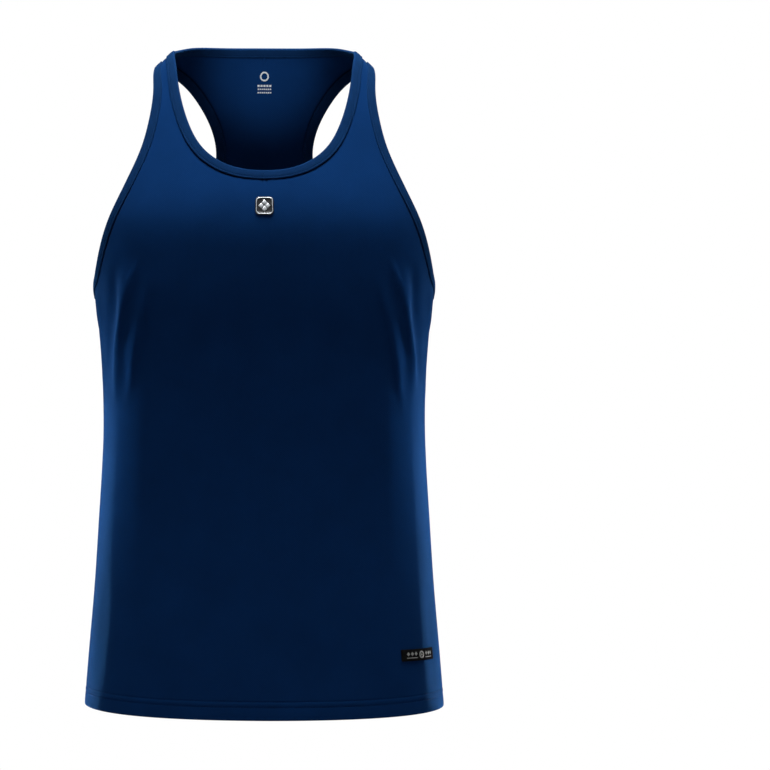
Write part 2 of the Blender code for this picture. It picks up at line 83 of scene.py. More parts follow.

# Waves of (wavelength, share, start) for ripple, and their heights on a binding
PUCKERS = ((11.3, 0.5, 0.13), (7.1, 0.34, 0.41), (17.9, 0.4, 0.77), (4.7, 0.16, 0.2))
RIB_WAVES = ((2.9, 0.5, 0.1), (5.3, 0.3, 0.6), (13.0, 0.5, 0.35), (41.0, 0.6, 0.8))
EDGE_WAVES = ((23.0, 0.6, 0.2), (9.0, 0.4, 0.5))
ALLOWANCE_WAVES = ((7.0, 0.3, 0.1), (19.0, 0.5, 0.6))
RIB_HEIGHT, EDGE_SWAY = 0.07, 0.10

Section = namedtuple("Section", "drop half_width front back centre square")
SECTIONS = (
    Section(-12, 80.0, 38.0, 50.0, 9.0, 0.03),
    Section(0, 94.5, 45.0, 58.0, 8.0, 0.03),
    Section(10, 106.5, 50.5, 63.0, 7.6, 0.03),
    Section(20, 116.5, 55.0, 67.0, 7.1, 0.03),
    Section(34, 128.5, 60.5, 72.5, 6.4, 0.03),
    Section(54, 143.0, 68.0, 80.0, 5.4, 0.035),
    Section(78, 157.5, 78.5, 88.5, 4.1, 0.035),
    Section(105, 169.5, 91.0, 97.0, 2.7, 0.035),
    Section(140, 180.5, 107.0, 105.5, 1.2, 0.04),
    Section(162, 184.5, 116.0, 108.7, 0.6, 0.043),
    Section(182, 186.8, 121.6, 110.6, 0.3, 0.045),
    Section(202, 187.6, 124.2, 111.3, 0.1, 0.045),
    Section(224, 186.4, 124.8, 111.4, 0.0, 0.046),
    Section(257, 181.6, 124.3, 109.5, 0.0, 0.05),
    Section(300, 176.5, 121.8, 105.5, 0.0, 0.05),
    Section(360, 172.5, 119.0, 100.5, 0.0, 0.05),
    Section(430, 172.5, 118.0, 98.5, 0.0, 0.05),
    Section(500, 176.5, 119.5, 101.0, 0.0, 0.045),
    Section(570, 181.0, 122.5, 106.0, 0.0, 0.045),
    Section(640, 187.0, 126.5, 111.5, 0.0, 0.045),
    Section(716, 193.0, 131.5, 117.0, 0.0, 0.045),
)

# Finished edges by (half width, drop). A half width of RIDGE is on the side seam or the ridge.
RIDGE = None
NECK_FRONT = (
    (0.0, 135.0), (31.0, 131.2), (52.5, 121.0), (66.8, 107.5), (76.5, 91.0), (83.2, 73.5), (88.2, 55.0),
    (92.0, 34.0), (94.6, 15.0), (RIDGE, 1.2),
)
NECK_BACK = (
    (0.0, -7.0), (48.0, -6.6), (80.0, -4.4), (RIDGE, 1.2),
)
ARMHOLE_FRONT = (
    (RIDGE, 257.0), (176.8, 232.5), (167.6, 196.0), (151.2, 158.0), (133.7, 120.0), (122.2, 81.0),
    (118.2, 54.0), (118.2, 34.0), (RIDGE, 20.5),
)
ARMHOLE_BACK = (
    (RIDGE, 257.0), (163.0, 247.5), (122.0, 221.0), (83.5, 180.0), (62.0, 143.0), (53.0, 107.0),
    (58.0, 80.0), (72.0, 53.0), (86.5, 35.5), (101.0, 25.0), (RIDGE, 20.5),
)
EDGES = {
    ("neck", False): NECK_FRONT,
    ("neck", True): NECK_BACK,
    ("arm", False): ARMHOLE_FRONT,
    ("arm", True): ARMHOLE_BACK,
}
EDGE_POINTS = {("neck", False): 161, ("neck", True): 61, ("arm", False): 161, ("arm", True): 231}
HOLES = {"neck": (0.0, 0.0, 0.0), "arm": (182.0, 0.0, -130.0)}  # their middles, on the wearer's left

# Soft folds, where a negative height is a trough. The first ten are the solids' own folds.
Fold = namedtuple("Fold", "side start_angle start_drop end_angle end_drop reach fade height")
FOLDS = (
    Fold(1, 43.0, 226, 62.0, 376, 9.0, 44, 3.6),
    Fold(1, 40.0, 258, 51.0, 366, 8.5, 40, 2.2),
    Fold(1, 54.0, 262, 71.0, 372, 11.0, 40, -2.0),
    Fold(-1, 43.5, 224, 61.0, 384, 9.0, 46, 3.8),
    Fold(-1, 40.5, 262, 50.0, 358, 8.5, 38, 2.0),
    Fold(-1, 55.0, 258, 70.0, 364, 11.0, 40, -2.2),
    Fold(1, 128.0, 268, 117.0, 412, 12.0, 56, 2.6),
    Fold(1, 112.0, 292, 106.0, 470, 13.0, 70, -2.2),
    Fold(-1, 129.0, 272, 119.0, 396, 12.0, 54, 2.4),
    Fold(-1, 111.0, 300, 107.0, 452, 13.0, 66, -2.0),
    # Sharper crests on the folds below the armholes, with the slack beside them
    Fold(1, 38.4, 222, 61.2, 353, 3.6, 32, 1.7),
    Fold(1, 51.0, 224, 57.8, 308, 8.4, 34, -2.1),
    Fold(1, 71.5, 240, 76.0, 318, 14.0, 32, 3.2),
    Fold(1, 33.6, 236, 53.0, 396, 5.0, 50, 1.9),
    Fold(-1, 39.0, 224, 60.4, 347, 3.7, 32, 1.7),
    Fold(-1, 51.4, 226, 57.8, 304, 8.4, 34, -2.1),
    Fold(-1, 72.0, 242, 76.0, 314, 14.0, 32, 3.1),
    Fold(-1, 33.4, 234, 51.6, 388, 5.0, 50, 1.9),
    # Under the arms and down the sides
    Fold(1, 74.0, 286, 80.0, 398, 7.5, 42, 1.3),
    Fold(1, 83.0, 300, 86.0, 436, 8.0, 50, -1.2),
    Fold(-1, 75.0, 282, 79.0, 388, 7.0, 40, 1.4),
    Fold(-1, 82.0, 306, 86.5, 448, 8.5, 52, -1.1),
    Fold(1, 97.0, 284, 99.0, 420, 8.0, 48, 1.5),
    Fold(-1, 98.0, 288, 99.5, 404, 8.0, 44, 1.4),
    # Between the chest's fullness and the body
    Fold(1, 17.0, 236, 27.0, 330, 12.0, 46, 0.9),
    Fold(-1, 15.0, 238, 26.0, 342, 13.0, 48, 0.8),
    # Long soft hangs above the hem
    Fold(1, 34.0, 520, 37.0, 705, 17.0, 70, 1.3),
    Fold(1, 69.0, 548, 66.0, 705, 15.0, 66, -1.4),
    Fold(-1, 28.0, 540, 31.0, 707, 18.0, 74, 1.2),
    Fold(-1, 64.0, 530, 61.0, 705, 16.0, 70, -1.3),
    Fold(1, 9.0, 600, 7.0, 708, 15.0, 60, -0.9),
    Fold(1, 121.0, 536, 124.0, 706, 17.0, 72, 1.5),
    Fold(-1, 126.0, 552, 128.0, 706, 16.0, 68, 1.4),
    Fold(1, 152.0, 570, 150.0, 712, 17.0, 70, -1.2),
    Fold(-1, 158.0, 560, 156.0, 712, 18.0, 72, -1.1),
    # Over the shoulder blades and the small of the back
    Fold(1, 141.0, 232, 134.0, 330, 10.0, 44, 1.5),
    Fold(-1, 142.0, 236, 136.0, 322, 10.0, 42, 1.4),
    Fold(1, 163.0, 330, 158.0, 470, 15.0, 60, -1.3),
    Fold(-1, 166.0, 342, 160.0, 486, 15.0, 64, -1.2),
    Fold(1, 172.0, 150, 174.0, 236, 9.0, 38, 0.8),
)
ROUND_PER_DEGREE = 2.65  # a usual width of one degree, for the folds

Patch = namedtuple("Patch", "angle drop length height corner")
BADGE = Patch(0.0, 173.0, 19.0, 19.0, 4.0)
LABEL = Patch(56.0, 642.0, 57.0, 12.4, 1.2)

# Grid of the visual cloth, over half a panel
MIDDLE_COLUMNS = {"front_cloth": 66, "back_cloth": 44}
EDGE_STEPS = (0.0, 1.0, 2.0, 2.7, 3.2, 3.7, 4.3, 5.3, 7.2)
EDGE_SHARE = 0.36  # the most of a row that these steps take at one end
FRONT_CHEST_ROWS, BODY_ROWS = 100, 104
BLADE_ROWS, YOKE_ROWS = 85, 35
SEAM_STEPS = (0.0, 0.6, 1.2, 2.0, 3.2)
CHEST_EDGE, NAPE_EDGE, BLADE_EDGE = 250.0, 95.0, 430.0  # rough lengths of the edges, for these steps
FRONT_SAG, BACK_SAG = 46.0, 60.0  # how far the rows above the body dip towards the centre line
HEM_TURNS = (10.0, 35.0, 62.0, 90.0)  # degrees round the fold of the hem
HEM_ROWS = (2.4, 4.6, 7.2, 9.8, 11.8, 12.7, 13.2, 13.6, 14.0, 14.5, 15.4, 16.5, 17.6,
            18.5, 19.0, 19.4, 19.8, 20.4, 21.2, 22.6, 24.6)
SEAM_SLIT = 0.024  # keeps the two panels from sharing a face at their seams
FAR = 1e3  # stands for no such edge near
ROUND_BY_SEAM = 1.75  # a degree's width on the back beside the side seam
SLOT_POINTS = 4

# Colours, linear. The eyelets of the mesh are MESH_PITCH apart, in metres.
GLOSS = (0.10, 0.42, 1.0)  # the knit's faint gloss is blue
NAVY, NAVY_DEEP = (0.0038, 0.0270, 0.1050), (0.0014, 0.0105, 0.0440)
BIND, BIND_DEEP = (0.0048, 0.0245, 0.0830), (0.0016, 0.0088, 0.0330)
MESH_PITCH = (0.0019, 0.0021)
SOFT_TERMINATOR = 0.25  # keeps the edge of a shade from following the faces

# Camera and frame, in metres. The frame is square and FRAME_WIDE across at the vest.
CAMERA_AWAY, CAMERA_HIGH, FRAME_WIDE, FRAME_ASIDE = 4.0, -0.3590, 0.8250, 0.1291
SENSOR = 36.0
FLOOR, FLOOR_RADIUS = -1.45, 5.0

# Lamps, in metres, watts and degrees. One for both sides is mirrored on the right.
Light = namedtuple("Light", "name both place target size power spread")
LIGHTS = (
    Light("top", False, (0.0, -0.20, 1.45), (0.0, 0.0, -0.1), (1.7, 0.6), 74.0, 180),
    Light("side", True, (2.16, 0.92, -0.38), (0.14, -0.24, -0.38), (0.50, 0.26), 0.58, 7),
    Light("low", True, (1.57, 1.91, -0.64), (0.22, -0.14, -0.64), (0.16, 0.5), 1.9, 6),
    Light("fill", False, (0.0, -2.6, 1.2), (0.0, 0.0, -0.30), (1.6, 0.8), 2.4, 180),
    Light("back_fill", False, (0.0, 3.0, 1.1), (0.0, 0.0, -0.2), (2.4, 1.2), 12.0, 180),
)
LAMP_COLOUR = (0.97, 0.985, 1.0)
# A soft beam through the neck on the inside of the yoke: its place and its target
BEAM = (0.0, -1.9, 0.34), (0.0, 0.085, -0.014)
BEAM_POWER, BEAM_ANGLE = 118.0, 4.7


# The form of the cloth


def cubic(knots, values, flat_ends=False):
    """A smooth curve through values at knots, as a function. With flat_ends its slope is 0 at both
    ends, and otherwise its bending is."""
    x, y = np.asarray(knots, float), np.asarray(values, float)
    h, slope = np.diff(x), np.diff(y) / np.diff(x)
    n = len(x)
    matrix, right = np.zeros((n, n)), np.zeros(n)
    for i in range(1, n - 1):
        matrix[i, i - 1 : i + 2] = h[i - 1], 2 * (h[i - 1] + h[i]), h[i]
        right[i] = 6 * (slope[i] - slope[i - 1])
    matrix[0, 0] = matrix[-1, -1] = 1.0
    if flat_ends:
        matrix[0, :2], right[0] = (2 * h[0], h[0]), 6 * slope[0]
        matrix[-1, -2:], right[-1] = (h[-1], 2 * h[-1]), -6 * slope[-1]
    bend = np.linalg.solve(matrix, right)

    def at(t):
        t = np.asarray(t, float)
        i = np.clip(np.searchsorted(x, t) - 1, 0, n - 2)
        a, b = (x[i + 1] - t) / h[i], (t - x[i]) / h[i]
        curved = ((a**3 - a) * bend[i] + (b**3 - b) * bend[i + 1]) * h[i] ** 2 / 6
        return a * y[i] + b * y[i + 1] + curved

    return at


HALF_WIDTH, FRONT, BACK, CENTRE, SQUARE = (
    cubic([row.drop for row in SECTIONS], [getattr(row, column) for row in SECTIONS])
    for column in Section._fields[1:]
)


def unit(vectors):
    return vectors / np.linalg.norm(vectors, axis=-1, keepdims=True)


def eased(value, start, end):
    """A smooth rise from 0 to 1 as value goes from start to end."""
    share = np.clip((np.asarray(value, float) - start) / (end - start), 0, 1)
    return share * share * (3 - 2 * share)


def swell(value, middle, width):
    """A smooth bump of 1 at the middle."""
    return np.exp(-(((value - middle) / width) ** 2))


def swells(value, table):
    return sum(height * swell(value, middle, width) for height, middle, width in table)


def front_depth(angle, drop):
    held = eased(drop, *CHEST_FALL_STARTS) * (1 - eased(drop, *CHEST_FALL_ENDS))
    return FRONT(drop - CHEST_FALL * held * np.sin(np.radians(angle)) ** 2)


def bare_form(angle, drop):
    """Points on the +X half of the tube with no folds in it."""
    turn, square = np.radians(angle), SQUARE(drop)
    depth = np.where(np.asarray(angle) <= SIDE_SEAM, front_depth(angle, drop), BACK(drop)) / (1 - square)
    x = HALF_WIDTH(drop) / (1 - square) * (np.sin(turn) + square * np.sin(3 * turn))
    y = CENTRE(drop) - depth * (np.cos(turn) - square * np.cos(3 * turn))
    return np.stack(np.broadcast_arrays(x, y, -np.asarray(drop, float)), -1)


def outward(surface, angle, drop, step=0.5):
    round_it = surface(angle + step, drop) - surface(angle - step, drop)
    down = surface(angle, drop + step) - surface(angle, drop - step)
    return unit(np.cross(down, round_it))


def fold_lift(side, angle, drop):
    """How far the folds lift the cloth. It is continuous across both centre lines."""
    lift = np.zeros(np.broadcast(side, angle, drop).shape)
    for fold in FOLDS:
        run_round = fold.side * (fold.end_angle - fold.start_angle) * ROUND_PER_DEGREE
        run_down = fold.end_drop - fold.start_drop
        length = math.hypot(run_round, run_down)
        turned = (side * angle - fold.side * fold.start_angle + 180.0) % 360.0 - 180.0
        away_round, away_down = turned * ROUND_PER_DEGREE, drop - fold.start_drop
        along = (away_round * run_round + away_down * run_down) / length
        beside = (away_round * run_down - away_down * run_round) / length
        ends = eased(np.minimum(along, length - along), 0, fold.fade)
        lift += fold.height * ends * swell(beside, 0.0, fold.reach)
    return lift


def cloth(side, angle, drop):
    """Points on the outside of the cloth."""
    side, angle, drop = np.broadcast_arrays(np.asarray(side, float), angle, drop)
    points = bare_form(angle, drop)
    points = points + outward(bare_form, angle, drop) * fold_lift(side, angle, drop)[..., None]
    return points * np.stack([side, np.ones_like(side), np.ones_like(side)], -1)


def cloth_normal(side, angle, drop):
    side, angle, drop = np.broadcast_arrays(np.asarray(side, float), angle, drop)
    return outward(lambda a, d: cloth(side, a, d), angle, drop) * side[..., None]


def angle_at(half_width, drop):
    """Angle on the front where the bare form is half_width from the centre plane."""
    low, high = 0.0, SIDE_SEAM
    for _ in range(50):
        middle = (low + high) / 2
        low, high = (middle, high) if bare_form(middle, drop)[0] < half_width else (low, middle)
    return (low + high) / 2


def lengths_along(points):
    """Length run at each point, along the last axis but one."""
    runs = np.cumsum(np.linalg.norm(np.diff(points, axis=-2), axis=-1), axis=-1)
    return np.concatenate([np.zeros(runs.shape[:-1] + (1,)), runs], axis=-1)


def round_length(angle, drop):
    """Length of cloth from the nearer centre line round to each place."""
    angle, drop = np.broadcast_arrays(np.asarray(angle, float), drop)
    start = np.where(angle > SIDE_SEAM, BACK_CENTRE, 0.0)
    steps = np.linspace(0, 1, 25)
    way = start[..., None] + (angle - start)[..., None] * steps
    return lengths_along(bare_form(way, np.broadcast_to(drop[..., None], way.shape)))[..., -1]


def panel_width(angle, drop, back):
    """Length of cloth from a panel's own centre line round to each place."""
    return round_length(np.maximum(angle, SIDE_SEAM + 1e-6) if back else angle, drop)


def walk(side, angle, drop, heading, distance, steps=4):
    """Places reached by going distance over the cloth in the headings given."""
    heading = unit(heading)
    for _ in range(steps):
        here = cloth(side, angle, drop)
        a = (cloth(side, angle + 0.1, drop) - here) / 0.1
        d = (cloth(side, angle, drop + 0.1) - here) / 0.1
        stride = heading * distance / steps
        aa, ad, dd = (a * a).sum(-1), (a * d).sum(-1), (d * d).sum(-1)
        sa, sd = (stride * a).sum(-1), (stride * d).sum(-1)
        scale = aa * dd - ad * ad
        angle, drop = angle + (sa * dd - sd * ad) / scale, drop + (sd * aa - sa * ad) / scale
    return angle, drop


def edge_line(rows, back):
    """The edge through a table's rows, as a function of shares of its length."""
    angles = [SIDE_SEAM if half_width is RIDGE else angle_at(half_width, drop) for half_width, drop in rows]
    angles = [BACK_CENTRE - a if back else a for a in angles]
    drops = [float(drop) for _, drop in rows]
    knots = lengths_along(bare_form(np.array(angles), np.array(drops)))
    angle, drop = cubic(knots, angles), cubic(knots, drops, flat_ends=True)
    fine = np.linspace(0, knots[-1], 1200)
    length = lengths_along(bare_form(angle(fine), drop(fine)))

    def at(share):
        knot = np.interp(np.asarray(share) * length[-1], length, fine)
        return angle(knot), drop(knot)

    return at


class EdgeRun:
    """A finished edge from its first row to its last at the shares given, with places inside it."""

    def __init__(self, side, which, back, shares):
        line = edge_line(EDGES[which, back], back)
        self.side = side
        self.angle, self.drop = line(shares)
        near = 0.004
        ahead, behind = line(np.minimum(shares + near, 1)), line(np.maximum(shares - near, 0))
        run = cloth(side, *ahead) - cloth(side, *behind)
        for end in (0, -1):  # an edge crosses a seam or a centre line squarely
            place = self.angle[end], self.drop[end]
            run[end] = cloth(side, place[0] + 0.1, place[1]) - cloth(side, place[0] - 0.1, place[1])
        heading = np.cross(cloth_normal(side, self.angle, self.drop), run)
        hole = np.multiply(HOLES[which], (side, 1, 1))
        away = ((cloth(side, self.angle, self.drop) - hole) * heading).sum(-1)
        self.heading = heading * np.where(away < 0, -1.0, 1.0)[:, None]

    def inside(self, distance):
        angle, drop = walk(self.side, self.angle, self.drop, self.heading, distance)
        angle[[0, -1]] = self.angle[[0, -1]]
        return np.stack([angle, drop], -1)


def end_steps(count, length):
    """Shares from 0 to 1, finer by the steps of a seam at the far end."""
    steps = np.array(SEAM_STEPS) / length
    even = np.linspace(0, 1 - steps[-1], count - len(steps) + 2)
    return np.concatenate([even[:-1], 1 - steps[::-1]])


def hem_drop(side, angle):
    turn = np.radians(angle)
    centre = np.where(np.asarray(angle) < SIDE_SEAM, HEM_FRONT, HEM_BACK)
    return HEM_SIDE + (centre - HEM_SIDE) * np.cos(turn) ** 2 + side * HEM_LEAN * np.sin(turn)


def ripple(along, waves):
    """Uneven ripples, from (wavelength, share, start) of each."""
    return sum(share * np.sin(2 * math.pi * (along / wave + start)) for wave, share, start in waves)


# The panels


def gather_columns(side, start, end, sag, columns):
    """Places between the places start and end, finer by both, of each row."""
    even = np.linspace(0, 1, 33)
    way = start[:, None] + (end - start)[:, None] * even[:, None]
    way[..., 1] += sag[:, None] * 4 * even * (1 - even)
    run = lengths_along(cloth(side, way[..., 0], way[..., 1]))
    wide = run[:, -1]
    steps = np.array(EDGE_STEPS)[None] * np.minimum(1, EDGE_SHARE * wide / EDGE_STEPS[-1])[:, None]
    middle = np.linspace(0, 1, columns + 2)[1:-1]
    middle = steps[:, -1:] + (wide[:, None] - 2 * steps[:, -1:]) * middle
    wanted = np.concatenate([steps, middle, wide[:, None] - steps[:, ::-1]], axis=1)
    shares = np.stack([np.interp(w, r, even) for w, r in zip(wanted, run)])
    places = start[:, None] + (end - start)[:, None] * shares[..., None]
    places[..., 1] += sag[:, None] * 4 * shares * (1 - shares)
    return places, wanted, wide[:, None] - wanted


def upper_ends(side, back):
    """For the rows above the body: the places at both ends, the sag between them, which rows start at
    the neck, and the armhole's edge."""
    held = BINDING_WIDTH - TUCKED
    if not back:
        shares = end_steps(FRONT_CHEST_ROWS, CHEST_EDGE)
        neck, arm = (EdgeRun(side, which, back, shares) for which in ("neck", "arm"))
        sag = FRONT_SAG * (1 - shares) ** 2
        return neck.inside(held), arm.inside(held), sag, np.ones(len(shares), bool), arm
    neck = EdgeRun(side, "neck", back, end_steps(YOKE_ROWS, NAPE_EDGE))
    arm = EdgeRun(side, "arm", back, end_steps(BLADE_ROWS + YOKE_ROWS, BLADE_EDGE))
    at_neck = neck.inside(held)
    lowest, nape = arm.inside(BINDING_WIDTH)[0, 1] + BACK_SAG, at_neck[0, 1]
    up = np.linspace(0, 1, BLADE_ROWS + 1)[:-1, None]
    start = np.concatenate([np.array([BACK_CENTRE, lowest]) + up * (0, nape - lowest), at_neck])
    return start, arm.inside(held), np.zeros(len(start)), np.arange(len(start)) >= BLADE_ROWS, arm


def half_panel(side, back, columns):
    """Rows of places on one half from the hem to the ridge, how far the hem's fold draws each row in,
    how thick the cloth is there, and how far each place is from what is sewn."""
    start, end, sag, neck_edge, arm = upper_ends(side, back)
    upper, from_start, from_end = gather_columns(side, start, end, sag, columns)
    top = upper[0]
    lowest = hem_drop(side, top[:, 0])
    turns, radius = np.radians(HEM_TURNS), HEM_THICK / 2
    above = np.concatenate([radius * (1 - np.cos(turns)), HEM_ROWS])
    high = (lowest - top[:, 1])[None] - HEM_ROWS[-1]
    rise = np.linspace(0, 1, BODY_ROWS + 1)[1:-1, None]
    above = np.concatenate([np.repeat(above[:, None], len(top), 1), HEM_ROWS[-1] + high * rise])
    lower = np.stack([np.broadcast_to(top[:, 0], above.shape), lowest[None] - above], -1)
    whole = panel_width(SIDE_SEAM, lower[..., 1], back)
    seam_away = np.maximum(whole - panel_width(lower[..., 0], lower[..., 1], back), 0.0)

    places = np.concatenate([lower, upper])
    in_by, thick = np.zeros(len(places)), np.full(len(places), CLOTH)
    in_by[: len(turns)] = radius * (1 - np.sin(turns))
    thick[: len(lower)][above[:, 0] < HEM_DEPTH + 0.5] = HEM_THICK
    thick[: len(turns)] -= in_by[: len(turns)]

    ridge = lengths_along(cloth(side, arm.angle, arm.drop))
    ridge = np.broadcast_to((ridge[-1] - ridge)[:, None], upper.shape[:2])
    far_below, far_above = np.full(lower.shape[:2], FAR), np.full(upper.shape[:2], FAR)
    measures = {
        "neck": np.concatenate([far_below, np.where(neck_edge[:, None], from_start, FAR)]),
        "arm": np.concatenate([far_below, from_end]),
        "seam": np.concatenate([seam_away, far_above]),
        "hem": np.concatenate([above, far_above]),
        "ridge": np.concatenate([far_below, ridge]),
        "along": np.concatenate([np.zeros(lower.shape[:2]), ridge]),
    }
    return places, in_by, thick, measures


def detail_lift(m):
    """What sewing does to the outside of the cloth, in millimetres out."""
    lift = swells(m["seam"], SEAM_SWELLS) + swells(m["ridge"], SEAM_SWELLS) + swells(m["hem"], HEM_SWELLS)
    puckers = PUCKER * ripple(m["along"], PUCKERS)
    for word in ("neck", "arm"):
        away = m[word] - TUCKED
        lift += swells(away, BINDING_SWELLS)
        lift += puckers * np.exp(-np.maximum(away, 0) / PUCKER_REACH) * (away > 0)
    return lift


def add_object(name, data):
    made = bpy.data.objects.new(name, data)
    bpy.context.scene.collection.objects.link(made)
    return made


def skin(name, points, faces, uvs=None, cut=False, **values):
    """A smooth object from points in millimetres, with values by point. With cut its faces of more
    than four corners become triangles."""
    mesh = bpy.data.meshes.new(name)
    mesh.from_pydata((points * MM).tolist(), [], faces)
    if uvs is not None:
        corners = np.empty(len(mesh.loops), np.int32)
        mesh.loops.foreach_get("vertex_index", corners)
        layer = mesh.uv_layers.new(name="Cloth")
        layer.uv.foreach_set("vector", (uvs[corners] * MM).astype(np.float32).reshape(-1))
    for label, value in values.items():
        layer = mesh.attributes.new(label, "FLOAT", "POINT")
        layer.data.foreach_set("value", value.astype(np.float32))
    mesh.validate()
    shape = bmesh.new()
    shape.from_mesh(mesh)
    if cut:
        bmesh.ops.triangulate(shape, faces=[f for f in shape.faces if len(f.verts) > 4])
    bmesh.ops.recalc_face_normals(shape, faces=shape.faces)
    shape.to_mesh(mesh)
    shape.free()
    mesh.shade_smooth()
    return add_object(name, mesh)


def welded(name, points, faces, uvs, **values):
    """The same, where points in the same place become one."""
    points, uvs = points.reshape(-1, 3), uvs.reshape(-1, 2)
    keys = np.round(points * 1e3).astype(np.int64)
    _, first, index = np.unique(keys, axis=0, return_index=True, return_inverse=True)
    values = {label: value.reshape(-1)[first] for label, value in values.items()}
    return skin(name, points[first], index.reshape(-1)[faces].tolist(), uvs[first], **values)


def ids_of(points, ring=False):
    """Ids of a grid of points, with its first row again at the end where it is a ring."""
    ids = np.arange(points.shape[0] * points.shape[1]).reshape(points.shape[:2])
    return np.concatenate([ids, ids[:1]]) if ring else ids


def grid_faces(ids, closed=False):
    """Quads over a grid of ids, which with closed is also joined round its second axis."""
    if closed:
        ids = np.concatenate([ids, ids[:, :1]], axis=1)
    return np.stack([ids[:-1, :-1], ids[:-1, 1:], ids[1:, 1:], ids[1:, :-1]], -1).reshape(-1, 4)


def rim_of(ids):
    return np.concatenate([ids[0], ids[1:, -1], ids[-1, -2::-1], ids[-2:0:-1, 0]])


def panel(name, back):
    """Both halves of a panel as one closed piece of cloth, outside and inside."""
    points, faces, uvs, wear, crease, base = [], [], [], [], [], 0
    for side in SIDES:
        places, in_by, thick, m = half_panel(side, back, MIDDLE_COLUMNS[name])
        angle, drop = places[..., 0], places[..., 1]
        surface, normal = cloth(side, angle, drop), cloth_normal(side, angle, drop)
        lift = detail_lift(m)
        outer = surface + normal * (lift - in_by[:, None])[..., None]
        inner = surface + normal * (np.minimum(lift, 0.1) * 0.5 - thick[:, None])[..., None]
        seam = np.minimum(m["seam"], m["ridge"])
        for layer in (outer, inner):
            layer[..., 1] += (SEAM_SLIT if back else -SEAM_SLIT) / 2 * np.exp(-seam / 0.3)
        uv = np.stack([side * panel_width(angle, drop, back), -drop], -1)
        bound = np.minimum(m["neck"], m["arm"]) - TUCKED
        near = np.minimum.reduce([bound, seam, m["hem"]])
        worn = np.exp(-np.maximum(near, 0) / WEAR_REACH)
        # Painted shade: the cloth's colour is darkened in the ditch beside each binding and along the seams,
        # where shadow falls
        shade_mask = swell(np.maximum(bound - 0.4, 0), 0.0, PAINTED_SHADE_REACH) + 0.7 * swell(seam, 0.0, 1.0)
        shade_mask = np.minimum(shade_mask, 1.0)
        for values, value in ((uvs, uv), (wear, worn), (crease, shade_mask)):
            values += [value.reshape(angle.size, -1)] * 2
        points += [outer.reshape(-1, 3), inner.reshape(-1, 3)]
        out_ids = base + ids_of(places)
        in_ids = out_ids + angle.size
        faces += [grid_faces(out_ids), grid_faces(in_ids)]
        a, b = rim_of(out_ids), rim_of(in_ids)
        strip = np.stack([a, np.roll(a, -1), np.roll(b, -1), b], -1)
        # Below the neck the two halves meet on the centre line, so no strip closes them there.
        on_centre = np.minimum(np.abs(angle), np.abs(angle - BACK_CENTRE)).reshape(-1) < 1e-6
        keep = ~(on_centre[a - base] & np.roll(on_centre[a - base], -1))
        faces.append(strip[keep])
        base += 2 * angle.size
    points, faces, uvs, wear, crease = map(np.concatenate, (points, faces, uvs, wear, crease))
    return welded(name, points, faces, uvs, wear=wear, crease=crease)


def area_of(piece):
    """Area of one face of a panel: half of its closed skin."""
    return sum(face.area for face in piece.data.polygons) / 2


# The bindings


def binding_profile():
    """Cross section of the folded strip: (in from the finished edge, out from the cloth). Its last
    four points are the slot that holds the panel."""
    radius = 1.9
    leg = [(10.6, 0.06), (10.58, 0.45), (10.42, 0.85), (10.05, 1.14), (9.6, 1.20), (9.2, 1.10), (8.9, 0.96),
           (8.65, 0.94), (8.35, 0.98), (7.9, 1.12), (7.2, 1.25), (6.2, 1.33), (5.0, 1.36), (3.9, 1.34),
           (2.9, 1.31)]
    fold = [math.radians(turn) for turn in range(90, -91, -15)]
    turned = [(radius * (1 - math.cos(t)), BINDING_MIDDLE + radius * math.sin(t)) for t in fold]
    under = [(inset, 2 * BINDING_MIDDLE - height) for inset, height in leg[::-1]]
    slot = [(10.2, -1.22), (2.6, -1.2), (2.6, 0.03), (10.2, 0.04)]
    return np.array(leg + turned + under + slot)


class Ring:
    """The closed run of a binding: frames along the finished edge, from (EdgeRun, order) pairs."""

    def __init__(self, runs):
        raw, inner, raw_up, inner_up = [], [], [], []
        for run, order in runs:
            for found, ups, distance in ((raw, raw_up, RAW_EDGE), (inner, inner_up, BINDING_WIDTH)):
                places = run.inside(distance)[order]
                found.append(cloth(run.side, places[:, 0], places[:, 1]))
                ups.append(cloth_normal(run.side, places[:, 0], places[:, 1]))
        self.raw, self.inner = np.concatenate(raw), np.concatenate(inner)
        self.raw_up, self.inner_up = np.concatenate(raw_up), np.concatenate(inner_up)
        self.run = lengths_along(np.concatenate([self.raw, self.raw[:1]]))
        self.length = self.run[-1]

    def at(self, inset, height):
        """Points along the ring at an inset from its finished edge and a height, and ups there."""
        share = (inset - RAW_EDGE) / (BINDING_WIDTH - RAW_EDGE)
        up = unit(self.raw_up + (self.inner_up - self.raw_up) * share)
        return self.raw + (self.inner - self.raw) * share + up * height, up

    def ripple(self, waves):
        """Ripples along the ring, with lengths that fit it a whole number of times."""
        fitted = [(self.length / round(self.length / wave), share, start) for wave, share, start in waves]
        return ripple(self.run[:-1], fitted)


def whole_edge(side, which, back):
    return EdgeRun(side, which, back, np.linspace(0, 1, EDGE_POINTS[which, back]))


def neck_ring():
    """From the centre front over the wearer's left shoulder and round."""
    left_front, right_front = (whole_edge(side, "neck", False) for side in SIDES)
    left_back, right_back = (whole_edge(side, "neck", True) for side in SIDES)
    return Ring([(left_front, slice(None)), (left_back, slice(-2, None, -1)),
                 (right_back, slice(1, None)), (right_front, slice(-2, 0, -1))])


def armhole_ring(side):
    """From the side seam up the front and down the back."""
    front, back = (whole_edge(side, "arm", back) for back in (False, True))
    return Ring([(front, slice(None)), (back, slice(-2, 0, -1))])


